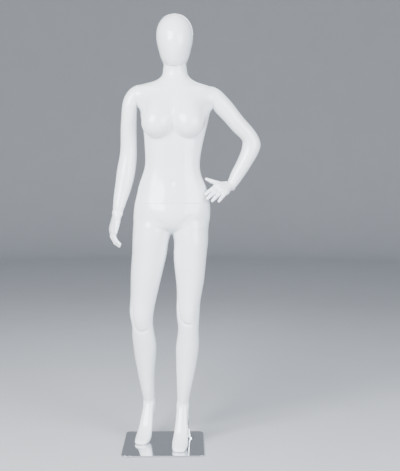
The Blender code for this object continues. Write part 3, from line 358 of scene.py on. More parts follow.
@dataclass(frozen=True)
class Crease:
    """A soft ridge along a line of points, or a groove where the height is below 0."""

    path: Sequence[Sequence[float]]
    width: float
    height: float

    def __call__(self, points: np.ndarray) -> np.ndarray:
        """Return how far the surface rises at each point.

        Args:
            points: Rows of coordinates.

        Returns:
            A rise for each row.
        """
        near = np.full(len(points), np.inf)
        for first, last in zip(self.path, self.path[1:]):
            start, way = np.array(first), np.array(last) - np.array(first)
            share = np.clip((points - start) @ way / (way @ way), 0.0, 1.0)
            near = np.minimum(near, ((points - start - share[:, None] * way) ** 2).sum(axis=1))
        return self.height * np.exp(-near / self.width ** 2)


def raised(distance: np.ndarray, points: np.ndarray, details: Sequence[Form]) -> np.ndarray:
    """Raise or sink a form's surface by its details.

    Args:
        distance: Distances to the plain form.
        points: The points they were measured at.
        details: Swells and creases.

    Returns:
        Distances to the detailed form.
    """
    for detail in details:
        distance = distance - detail(points)
    return distance


# ---- meshes -------------------------------------------------------------------
@dataclass(frozen=True)
class Seam:
    """A flat face where one shell meets another, with the depths and insets of the pocket in it."""

    point: Sequence[float]
    outward: Sequence[float]
    pocket: Sequence[tuple[float, float]] = ()
    reach: float = 0.4


@dataclass(frozen=True)
class Skinner:
    """Wraps a form in an even closed mesh."""

    cell: float
    block: int = 4
    batch: int = 300000
    rounds: int = 4

    def sampled(self, form: Form, low: np.ndarray, counts: np.ndarray) -> np.ndarray:
        """Measure a form on an even grid, in full only near its surface.

        Args:
            form: The form.
            low: The grid's first corner.
            counts: Blocks along each axis.

        Returns:
            The distances on the grid.
        """
        size = self.cell * self.block
        centres = np.stack(np.meshgrid(*[np.arange(c) for c in counts], indexing="ij"), axis=-1)
        middles = low + (centres.reshape(-1, 3) + 0.5) * size
        rough = self._measured(form, middles).reshape(counts)
        near = np.abs(rough) < size * 1.7
        values = rough
        for axis in range(3):
            values = np.repeat(values, self.block, axis=axis)
            near = np.repeat(near, self.block, axis=axis)
        index = np.argwhere(near)
        values[near] = self._measured(form, low + index * self.cell)
        return values

    def _measured(self, form: Form, points: np.ndarray) -> np.ndarray:
        """Return a form's distances, measured in batches."""
        return np.concatenate([form(points[i:i + self.batch]) for i in range(0, len(points), self.batch)])

    def wrap(self, form: Form, low: Sequence[float], high: Sequence[float]) -> tuple[np.ndarray, np.ndarray]:
        """Wrap a form inside a box.

        Args:
            form: The form.
            low: The box's low corner.
            high: The box's high corner.

        Returns:
            The mesh's points and its four-cornered faces.
        """
        start = np.array(low)
        counts = np.ceil((np.array(high) - start) / (self.cell * self.block)).astype(int) + 1
        values = self.sampled(form, start, counts)
        inside = values < 0
        cells, spots, corners = [], [], []
        for axis in range(3):
            lower = [slice(None)] * 3
            upper = [slice(None)] * 3
            lower[axis], upper[axis] = slice(None, -1), slice(1, None)
            lower_in, upper_in = inside[tuple(lower)], inside[tuple(upper)]
            index = np.argwhere(lower_in != upper_in)
            first = values[tuple(lower)][tuple(index.T)]
            second = values[tuple(upper)][tuple(index.T)]
            spot = index.astype(float)
            spot[:, axis] += first / (first - second)
            step_j, step_k = np.zeros(3, int), np.zeros(3, int)
            step_j[(axis + 1) % 3] = 1
            step_k[(axis + 2) % 3] = 1
            around = [index, index - step_j, index - step_j - step_k, index - step_k]
            flat = np.stack([np.ravel_multi_index(tuple(cell.T), values.shape) for cell in around], axis=1)
            flip = ~lower_in[tuple(index.T)]
            flat[flip] = flat[flip][:, ::-1]
            corners.append(flat)
            cells.append(flat.ravel())
            spots.append(np.repeat(spot, 4, axis=0))
        found, place = np.unique(np.concatenate(cells), return_inverse=True)
        place = place.ravel()
        spot = np.concatenate(spots)
        total = np.bincount(place)
        points = np.stack([np.bincount(place, spot[:, i]) / total for i in range(3)], axis=1)
        faces = place.reshape(-1, 4)
        return self._settled(form, start + points * self.cell, faces), faces

    def _settled(self, form: Form, points: np.ndarray, faces: np.ndarray) -> np.ndarray:
        """Even out the points and set them on the form's surface.

        Args:
            form: The form.
            points: The mesh's points.
            faces: The mesh's faces.

        Returns:
            The moved points.
        """
        count = len(points)
        ends_a = np.concatenate([faces[:, i] for i in range(4)])
        ends_b = np.concatenate([faces[:, (i + 1) % 4] for i in range(4)])
        total = np.bincount(ends_a, minlength=count)[:, None]
        for _ in range(self.rounds):
            mean = np.stack([np.bincount(ends_a, points[ends_b, i], count) for i in range(3)], axis=1)
            points = 0.5 * points + 0.5 * mean / total
            cross = np.cross(points[faces[:, 2]] - points[faces[:, 0]], points[faces[:, 3]] - points[faces[:, 1]])
            normal = np.stack([np.bincount(faces.ravel(), np.repeat(cross[:, i], 4), count)
                               for i in range(3)], axis=1)
            normal /= np.maximum(np.linalg.norm(normal, axis=1, keepdims=True), 1e-12)
            move = np.clip(self._measured(form, points), -self.cell / 2, self.cell / 2)
            points = points - normal * move[:, None]
        return points


class ShellMaker:
    """Turns wrapped forms into shells with flat faces at their seams."""

    def __init__(self, skinner: Skinner) -> None:
        """Keep the skinner that wraps the forms."""
        self.skinner = skinner

    def make(self, name: str, form: Form, low: Sequence[float], high: Sequence[float],
             seams: Sequence[Seam]) -> bpy.types.Object:
        """Build one shell.

        Args:
            name: The piece's name.
            form: Its form, above the soles.
            low: Low corner of a box around it.
            high: High corner of the box.
            seams: Its flat faces.

        Returns:
            The new object.
        """
        points, faces = self.skinner.wrap(form, low, high)
        points[:, 2] += SOLE
        for seam in seams:
            outward = np.array(tuple(seam.outward))
            offset = points - self._seam_point(seam)
            over = offset @ outward
            close = (np.abs(over) < self.skinner.cell * 0.3) & (np.linalg.norm(offset, axis=1) < seam.reach)
            points[close] -= over[close, None] * outward
        mesh = bpy.data.meshes.new(name)
        mesh.from_pydata(points.tolist(), [], faces.tolist())
        bm = bmesh.new()
        bm.from_mesh(mesh)
        for seam in seams:
            self._trim(bm, seam)
        self._shade(bm)
        bm.to_mesh(mesh)
        bm.free()
        made = bpy.data.objects.new(name, mesh)
        bpy.context.scene.collection.objects.link(made)
        return made

    def _seam_point(self, seam: Seam) -> np.ndarray:
        """Return the middle of a shell's own face at a seam."""
        return np.array(tuple(seam.point)) + (0, 0, SOLE) - np.array(tuple(seam.outward)) * SEAM_GAP

    def _trim(self, bm: bmesh.types.BMesh, seam: Seam) -> None:
        """Cut a shell flat at one seam, close the face and soften its outer edge.

        Args:
            bm: The shell.
            seam: The seam.
        """
        point, outward = Vector(self._seam_point(seam)), Vector(seam.outward)
        for back, clear in ((SEAM_CHAMFER, False), (0.0, True)):
            near = {face for face in bm.faces if (face.calc_center_median() - point).length < seam.reach}
            around = {edge for face in near for edge in face.edges} | {vert for face in near for vert in face.verts}
            bmesh.ops.bisect_plane(bm, geom=list(near | around), dist=0.00002, plane_co=point - outward * back,
                                   plane_no=outward, clear_outer=clear)
        rim = self._rim(bm)
        homes = [vert.co.copy() for vert in rim]
        middle = sum(homes, Vector()) / len(homes)
        ways = [(middle - home - outward * (middle - home).dot(outward)).normalized() for home in homes]
        for vert, way in zip(rim, ways):
            vert.co += way * SEAM_CHAMFER * 0.8
        for depth, inset in seam.pocket:
            ring = [bm.verts.new(home + way * inset - outward * depth) for home, way in zip(homes, ways)]
            for i, vert in enumerate(rim):
                after = (i + 1) % len(rim)
                bm.faces.new((vert, rim[after], ring[after], ring[i]))
            rim = ring
        bottom = bm.verts.new(sum((vert.co for vert in rim), Vector()) / len(rim))
        for i, vert in enumerate(rim):
            bm.faces.new((vert, rim[(i + 1) % len(rim)], bottom))

    def _rim(self, bm: bmesh.types.BMesh) -> list[bmesh.types.BMVert]:
        """Return the open rim of a shell in order, the longest one if there are several.

        Args:
            bm: The shell.

        Returns:
            The rim's corners.
        """
        left = {edge for edge in bm.edges if edge.is_boundary}
        rims = []
        while left:
            edge = left.pop()
            rim = [edge.verts[0], edge.verts[1]]
            while True:
                ahead = next((other for other in rim[-1].link_edges if other in left), None)
                if ahead is None:
                    break
                left.remove(ahead)
                rim.append(ahead.other_vert(rim[-1]))
            rims.append(rim[:-1] if rim[0] is rim[-1] else rim)
        return max(rims, key=len)

    def _shade(self, bm: bmesh.types.BMesh) -> None:
        """Shade a shell smooth, with crisp edges where it was cut."""
        bmesh.ops.recalc_face_normals(bm, faces=bm.faces[:])
        for face in bm.faces:
            face.smooth = True
        for edge in bm.edges:
            edge.smooth = not edge.is_manifold or edge.calc_face_angle(0.0) < math.radians(38)


# ---- finishes -------------------------------------------------------------------
class Wire:
    """A value inside a material that takes part in sums."""

    def __init__(self, graph: "Graph", socket: bpy.types.NodeSocket) -> None:
        """Keep the socket and the graph it belongs to."""
        self.graph = graph
        self.socket = socket

    def _sum(self, operation: str, first: "Wire | float", second: "Wire | float") -> "Wire":
        """Return the result of a Math node."""
        return self.graph.node("ShaderNodeMath", {"operation": operation}, {0: first, 1: second})

    def __add__(self, other: "Wire | float") -> "Wire":
        """Return this value plus another."""
        return self._sum("ADD", self, other)

    def __radd__(self, other: float) -> "Wire":
        """Return a number plus this value."""
        return self._sum("ADD", other, self)

    def __sub__(self, other: "Wire | float") -> "Wire":
        """Return this value less another."""
        return self._sum("SUBTRACT", self, other)

    def __rsub__(self, other: float) -> "Wire":
        """Return a number less this value."""
        return self._sum("SUBTRACT", other, self)

    def __mul__(self, other: "Wire | float") -> "Wire":
        """Return this value times another."""
        return self._sum("MULTIPLY", self, other)

    def __rmul__(self, other: float) -> "Wire":
        """Return a number times this value."""
        return self._sum("MULTIPLY", other, self)

    def __pow__(self, other: "Wire | float") -> "Wire":
        """Return this value to a power."""
        return self._sum("POWER", self, other)


class Graph:
    """The nodes of one material."""

    def __init__(self, name: str) -> None:
        """Start a material with a single surface shader.

        Args:
            name: The material's name.
        """
        self.material = bpy.data.materials.new(name)
        self.material.use_nodes = True
        self.nodes = self.material.node_tree.nodes
        self.links = self.material.node_tree.links
        self.shader = self.nodes["Principled BSDF"]
        self.position = Wire(self, self.nodes.new("ShaderNodeTexCoord").outputs["Object"])

    def node(self, kind: str, settings: dict[str, object], inputs: dict[str | int, object],
             output: str | int = 0) -> Wire:
        """Add a node.

        Args:
            kind: The node's type.
            settings: Its properties, with a ramp's stops under "stops".
            inputs: Values or links of its sockets.
            output: Which of its results to use.

        Returns:
            The chosen result.
        """
        made = self.nodes.new(kind)
        for name, value in settings.items():
            if name == "stops":
                ramp = made.color_ramp
                for i, (place, colour) in enumerate(value):
                    stop = ramp.elements[i] if i < 2 else ramp.elements.new(place)
                    stop.position, stop.color = place, colour
            else:
                setattr(made, name, value)
        for name, value in inputs.items():
            self.put(made, name, value)
        return Wire(self, made.outputs[output])

    def put(self, node: bpy.types.Node, name: str | int, value: object) -> None:
        """Set or link one input of a node."""
        if isinstance(value, Wire):
            self.links.new(value.socket, node.inputs[name])
        else:
            node.inputs[name].default_value = value

    def surface(self, **inputs: object) -> None:
        """Set or link inputs of the surface shader, with their spaces written as underscores."""
        for name, value in inputs.items():
            self.put(self.shader, name.replace("_", " "), value)

    def noise(self, scale: float, detail: float = 2.0, where: Wire | None = None) -> Wire:
        """Return soft random values from 0 to 1.

        Args:
            scale: Lumps to a metre.
            detail: Finer layers.
            where: Coordinates, or the object's own.

        Returns:
            The values.
        """
        return self.node("ShaderNodeTexNoise", {}, {"Vector": where or self.position, "Scale": scale,
                                                    "Detail": detail}, "Fac")

    def stretched(self, scale: Sequence[float], turn: Sequence[float] = (0.0, 0.0, 0.0)) -> Wire:
        """Return the object's coordinates scaled along each axis."""
        return self.node("ShaderNodeMapping", {}, {"Vector": self.position, "Scale": tuple(scale),
                                                   "Rotation": tuple(turn)})

    def mixed(self, share: Wire, first: Station, second: Station | Wire) -> Wire:
        """Return a colour between two, by a share from 0 to 1.

        Args:
            share: The second colour's share.
            first: A colour.
            second: A colour.

        Returns:
            The mixed colour.
        """
        return self.node("ShaderNodeMix", {"data_type": "RGBA"}, {"Factor": share, 6: first, 7: second}, 2)

    def bump(self, height: Wire, depth: float) -> Wire:
        """Return normals bent by a height, with its depth in metres."""
        return self.node("ShaderNodeBump", {}, {"Height": height, "Distance": depth, "Strength": 1.0})


@dataclass(frozen=True)
class GlossLacquer:
    """White gloss lacquer over moulded glass fibre."""

    name: str = "white_lacquer"
    white: Station = (0.90, 0.925, 0.955, 1.0)
    shade: Station = (0.85, 0.88, 0.925, 1.0)
    roughness: float = 0.24
    coat: float = 0.55

    def make(self) -> bpy.types.Material:
        """Build the material.

        Returns:
            The material.
        """
        graph = Graph(self.name)
        clouds = graph.noise(5.0, 3.0)
        orange_peel = graph.noise(420.0, 1.0)
        sags = graph.noise(24.0, 2.0)
        graph.surface(
            Base_Color=graph.mixed(clouds * 0.5, self.white, self.shade),
            Roughness=(sags - 0.5) * 0.10 + self.roughness,
            Coat_Weight=(clouds - 0.5) * 0.15 + self.coat,
            Coat_Roughness=0.06,
            Normal=graph.bump(orange_peel * 0.35 + sags, 0.00012),
        )
        return graph.material


@dataclass(frozen=True)
class Metal:
    """Bare or plated metal with a fine grain."""

    name: str
    colour: Station
    tarnish: Station
    roughness: float
    spread: float
    grain: Station = (900.0, 900.0, 30.0)
    depth: float = 0.00001

    def make(self) -> bpy.types.Material:
        """Build the material.

        Returns:
            The material.
        """
        graph = Graph(self.name)
        smears = graph.noise(18.0, 4.0)
        lines = graph.noise(1.0, 2.0, graph.stretched(self.grain))
        graph.surface(
            Base_Color=graph.mixed(smears, self.colour, self.tarnish),
            Metallic=1.0,
            Roughness=smears * self.spread + lines * (self.spread * 0.5) + self.roughness,
            Normal=graph.bump(lines, self.depth),
        )
        return graph.material


@dataclass(frozen=True)
class Plywood:
    """Birch plywood whose plies show on its edges."""

    name: str = "birch_plywood"
    ply: float = 0.0015
    pale: Station = (0.72, 0.55, 0.36, 1.0)
    dark: Station = (0.46, 0.30, 0.17, 1.0)

    def make(self) -> bpy.types.Material:
        """Build the material.

        Returns:
            The material.
        """
        graph = Graph(self.name)
        plies = graph.node("ShaderNodeTexWave", {"bands_direction": "Z"},
                           {"Vector": graph.position, "Scale": math.pi / (10.0 * self.ply), "Distortion": 0.4,
                            "Detail Scale": 8.0}, "Fac")
        grain = graph.noise(1.0, 5.0, graph.stretched((26.0, 420.0, 420.0)))
        tone = grain * 0.7 + plies ** 3.0 * 0.35
        graph.surface(
            Base_Color=graph.mixed(tone, self.pale, self.dark),
            Roughness=grain * 0.2 + 0.55,
            Normal=graph.bump(grain, 0.0002),
        )
        return graph.material


@dataclass(frozen=True)
class Moulded:
    """Plain moulded plastic or foam with a fine texture."""

    name: str
    colour: Station
    bright: Station
    roughness: float
    scale: float
    depth: float

    def make(self) -> bpy.types.Material:
        """Build the material.

        Returns:
            The material.
        """
        graph = Graph(self.name)
        texture = graph.noise(self.scale, 3.0)
        graph.surface(
            Base_Color=graph.mixed(texture, self.colour, self.bright),
            Roughness=texture * 0.15 + self.roughness,
            Normal=graph.bump(texture, self.depth),
        )
        return graph.material


class Slot(Enum):
    """The record's material slots and the finish that each one has."""

    WHITE_SHELL = GlossLacquer()
    POLISHED_STEEL = Metal("polished_steel", (0.86, 0.87, 0.89, 1.0), (0.78, 0.80, 0.83, 1.0), 0.025, 0.06,
                           (160.0, 1100.0, 160.0))
    BRIGHT_STEEL = Metal("bright_steel", (0.62, 0.62, 0.64, 1.0), (0.52, 0.53, 0.55, 1.0), 0.22, 0.16,
                         depth=0.00004)
    ZINC_PLATE = Metal("zinc_plate", (0.70, 0.72, 0.74, 1.0), (0.56, 0.58, 0.60, 1.0), 0.28, 0.2, depth=0.00003)
    BIRCH_PLYWOOD = Plywood()
    BLACK_NYLON = Moulded("black_nylon", (0.015, 0.015, 0.017, 1.0), (0.035, 0.035, 0.038, 1.0), 0.42, 900.0,
                          0.00003)
    BLACK_FOAM = Moulded("black_foam", (0.02, 0.02, 0.02, 1.0), (0.06, 0.06, 0.06, 1.0), 0.8, 1600.0, 0.0003)


class Wardrobe:
    """Makes each finish once and dresses pieces in it."""

    def __init__(self) -> None:
        """Start with no material made."""
        self.made: dict[Slot, bpy.types.Material] = {}

    def material(self, slot: Slot) -> bpy.types.Material:
        """Return the material of a slot."""
        if slot not in self.made:
            self.made[slot] = slot.value.make()
        return self.made[slot]

    def dress(self, piece: bpy.types.Object, slot: Slot, body: str, *stands_for: str) -> None:
        """Give a new piece its finish and its place in the frame.

        Args:
            piece: The new piece.
            slot: Its material slot.
            body: The body it moves with.
            stands_for: CAD nodes that it replaces.
        """
        piece.data.materials.append(self.material(slot))
        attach(piece, body)
        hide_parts(*stands_for)
        LOG.info("%s: %d faces", piece.name, len(piece.data.polygons))

    def dress_frame(self, replaced: set[str]) -> None:
        """Give every CAD node that stays its procedural finish.

        Args:
            replaced: Nodes that new pieces stand for.
        """
        slots = {part["node"]: Slot[part["material_slot"].upper()] for part in frame["record"]["subparts"]}
        for name, node in frame["nodes"].items():
            if name in replaced:
                continue
            for place in node.material_slots:
                place.material = self.material(slots[name])
            LOG.info("%s keeps its shape", name)


# ---- the figure's pieces ----------------------------------------------------------
@dataclass
class LowerBody:
    """The pelvis, legs and feet in one shell."""

    pelvis: Sequence[Station] = (
        (0.875, -0.050, 0.115, -0.040, 0.075), (0.892, -0.104, 0.168, -0.072, 0.106),
        (0.910, -0.1205, 0.1855, -0.085, 0.117), (0.932, -0.1215, 0.1905, -0.0925, 0.120),
        (0.962, -0.119, 0.1915, -0.094, 0.112), (0.994, -0.1145, 0.190, -0.090, 0.096),
        (1.022, -0.107, 0.185, -0.086, 0.086))
    right_leg: Sequence[Station] = (
        (0.145, -0.0860, -0.0405, 0.085, 0.128), (0.187, -0.0945, -0.039, 0.066, 0.129),
        (0.238, -0.104, -0.040, 0.050, 0.124), (0.290, -0.113, -0.038, 0.032, 0.124),
        (0.344, -0.1215, -0.034, 0.014, 0.119), (0.397, -0.127, -0.031, -0.003, 0.107),
        (0.449, -0.1305, -0.0375, -0.020, 0.089), (0.494, -0.131, -0.0435, -0.033, 0.072),
        (0.534, -0.138, -0.042, -0.042, 0.068), (0.594, -0.136, -0.031, -0.050, 0.071),
        (0.654, -0.134, -0.017, -0.060, 0.077), (0.724, -0.132, 0.0, -0.070, 0.086),
        (0.794, -0.127, 0.015, -0.078, 0.098), (0.854, -0.125, 0.027, -0.084, 0.110),
        (0.884, -0.1235, 0.036, -0.083, 0.114),
        (0.902, -0.1215, 0.032, -0.082, 0.113), (0.930, -0.102, 0.018, -0.072, 0.098))
    left_leg: Sequence[Station] = (
        (0.150, 0.0585, 0.0990, -0.004, 0.040), (0.204, 0.055, 0.109, -0.021, 0.043),
        (0.254, 0.054, 0.119, -0.031, 0.041), (0.304, 0.052, 0.130, -0.038, 0.052),
        (0.354, 0.051, 0.139, -0.046, 0.062), (0.404, 0.051, 0.145, -0.055, 0.060),
        (0.454, 0.058, 0.145, -0.064, 0.046), (0.494, 0.060, 0.1445, -0.074, 0.031),
        (0.534, 0.055, 0.147, -0.079, 0.032), (0.594, 0.055, 0.151, -0.080, 0.040),
        (0.654, 0.054, 0.162, -0.083, 0.052), (0.724, 0.047, 0.171, -0.086, 0.068),
        (0.794, 0.043, 0.178, -0.086, 0.088), (0.854, 0.0405, 0.1835, -0.086, 0.108),
        (0.884, 0.033, 0.184, -0.083, 0.114),
        (0.902, 0.038, 0.1855, -0.082, 0.113), (0.930, 0.052, 0.168, -0.072, 0.098))
    foot: Sequence[Station] = (
        (0.0, 0.0, 0.0, 0.007, 0.007), (0.004, -0.014, 0.014, 0.001, 0.012), (0.014, -0.024, 0.024, -0.003, 0.019),
        (0.031, -0.0295, 0.0295, -0.004, 0.026), (0.056, -0.032, 0.032, -0.003, 0.042),
        (0.076, -0.030, 0.030, 0.006, 0.066), (0.098, -0.0265, 0.0265, 0.030, 0.108),
        (0.120, -0.0245, 0.0245, 0.056, 0.150), (0.142, -0.0250, 0.0250, 0.078, 0.182),
        (0.162, -0.0235, 0.0235, 0.088, 0.178), (0.175, -0.016, 0.016, 0.098, 0.160),
        (0.181, 0.0, 0.0, 0.129, 0.129))
    toe_tips: Sequence[Sequence[float]] = ((-0.098, -0.030, 0.0), (0.062, -0.130, 0.0))
    foot_turns: Sequence[float] = (-14.0, -6.5)
    rod_foot: Sequence[float] = (0.105, 0.076, 0.0)
    rod_way: Sequence[float] = (-0.06171, -0.10098, 0.992973)
    waist: float = 0.994
    waist_pocket: Sequence[tuple[float, float]] = ((0.0, SHELL_WALL), (0.018, SHELL_WALL), (0.060, 0.012), (0.096, 0.024))
    cell: float = 0.0035
    details: list[Form] = field(default_factory=list)

    def __post_init__(self) -> None:
        """Fit the masses of the shell and lay out its details."""
        self.hips = Column(self.pelvis, 2.2)
        self.legs = [Column(self.right_leg), Column(self.left_leg)]
        self.feet = []
        self.toes: list[Form] = []
        for tip, turn in zip(self.toe_tips, self.foot_turns):
            heading = Matrix.Rotation(math.radians(turn), 3, "Z")
            place = Place(tip, heading @ Vector((1, 0, 0)), Vector((0, 0, 1)), heading @ Vector((0, 1, 0)))
            self.feet.append(Column(self.foot, 2.3, 0.003, place, True))
            for across, reach in ((-0.0135, 0.020), (-0.0035, 0.021), (0.0060, 0.019), (0.0150, 0.017)):
                path = [place.world((across * 0.8, 0.012, -0.004)), place.world((across, 0.024, reach + 0.006))]
                self.toes.append(Crease(path, 0.0026, -0.0034))
            for across, reach in ((-0.0195, 0.006), (-0.0085, 0.008), (0.0012, 0.008), (0.0105, 0.006), (0.0190, 0.002)):
                self.toes.append(Swell(place.world((across, reach, 0.014)), (0.0055, 0.008, 0.008), 0.0024))
        self.rod_hole = Tube([np.array(self.rod_foot) + np.array(self.rod_way) * reach for reach in (0.1, 0.40)],
                             (0.0074, 0.0074))
        self.details = [
            Swell((-0.086, -0.036, 0.519), (0.032, 0.03, 0.038), 0.0060),     # right kneecap
            Crease([(-0.124, -0.027, 0.566), (-0.1245, -0.022, 0.526), (-0.120, -0.0145, 0.491),
                    (-0.105, -0.022, 0.471), (-0.088, -0.028, 0.467), (-0.066, -0.023, 0.475)], 0.006, -0.0058),
            Swell((-0.050, -0.028, 0.492), (0.012, 0.02, 0.028), -0.0022),
            Swell((-0.075, -0.020, 0.425), (0.020, 0.03, 0.030), 0.0022),
            Swell((0.102, -0.080, 0.549), (0.030, 0.03, 0.036), 0.0055),      # left kneecap
            Crease([(0.058, -0.041, 0.598), (0.066, -0.059, 0.551), (0.0715, -0.065, 0.527), (0.086, -0.0728, 0.509),
                    (0.110, -0.075, 0.505)], 0.006, -0.0055),
            Swell((0.134, -0.060, 0.535), (0.010, 0.02, 0.030), -0.0022),
            Swell((0.086, -0.064, 0.450), (0.020, 0.03, 0.030), 0.0022),
            Crease([(-0.088, 0.012, 0.40), (-0.070, 0.060, 0.20)], 0.012, 0.0020),   # shins
            Crease([(0.090, -0.056, 0.40), (0.080, -0.020, 0.18)], 0.012, 0.0020),
            Swell((-0.096, 0.110, 0.105), (0.010, 0.014, 0.013), 0.0035),     # ankle bones
            Swell((-0.034, 0.104, 0.112), (0.010, 0.014, 0.013), 0.0035),
            Swell((-0.036, 0.140, 0.134), (0.014, 0.03, 0.022), 0.0040),      # right heel
            Swell((0.046, 0.008, 0.112), (0.010, 0.014, 0.013), 0.0035),
            Swell((0.104, 0.012, 0.105), (0.010, 0.014, 0.013), 0.0035),
            Swell((-0.034, 0.112, 0.905), (0.052, 0.05, 0.050), 0.0130),      # seat
            Swell((0.106, 0.112, 0.905), (0.052, 0.05, 0.050), 0.0130),
            Crease([(CENTRE_X, 0.135, 0.855), (CENTRE_X, 0.135, 0.925), (CENTRE_X, 0.110, 0.975)], 0.014, -0.0120),
            Swell((CENTRE_X, -0.088, 0.955), (0.060, 0.03, 0.045), 0.0035),   # belly
            Crease([(-0.075, -0.092, 0.985), (-0.040, -0.094, 0.940), (0.020, -0.088, 0.892)], 0.010, -0.0035),
            Crease([(0.147, -0.092, 0.985), (0.112, -0.094, 0.940), (0.052, -0.088, 0.892)], 0.010, -0.0035),
        ]

    def outer(self, points: np.ndarray) -> np.ndarray:
        """Return distances to the shell's outside, whole at the seams.

        Args:
            points: Rows of coordinates above the soles.

        Returns:
            A distance for each row.
        """
        feet = [raised(foot(points), points, self.toes) for foot in self.feet]
        limbs = [joined(leg(points), cut_away(foot, -points[:, 2], 0.004), 0.016)
                 for leg, foot in zip(self.legs, feet)]
        limb = joined(limbs[0], limbs[1], 0.010)
        return raised(joined(self.hips(points), limb, 0.012), points, self.details)

    def form(self, points: np.ndarray) -> np.ndarray:
        """Return distances to the shell with its rod hole.

        Args:
            points: Rows of coordinates above the soles.

        Returns:
            A distance for each row.
        """
        return np.maximum(self.outer(points), -self.rod_hole(points))

    def build(self, wardrobe: Wardrobe) -> list[str]:
        """Build and dress the shell.

        Args:
            wardrobe: The finishes.

        Returns:
            The CAD nodes that it replaces.
        """
        seams = [Seam((CENTRE_X, 0.0, self.waist), (0, 0, 1), self.waist_pocket)]
        shell = ShellMaker(Skinner(self.cell)).make("lower_body", self.form, (-0.16, -0.15, -0.012),
                                                    (0.21, 0.17, self.waist + 0.040), seams)
        wardrobe.dress(shell, Slot.WHITE_SHELL, "lower_body", "lower_body_shell")
        return ["lower_body_shell"]


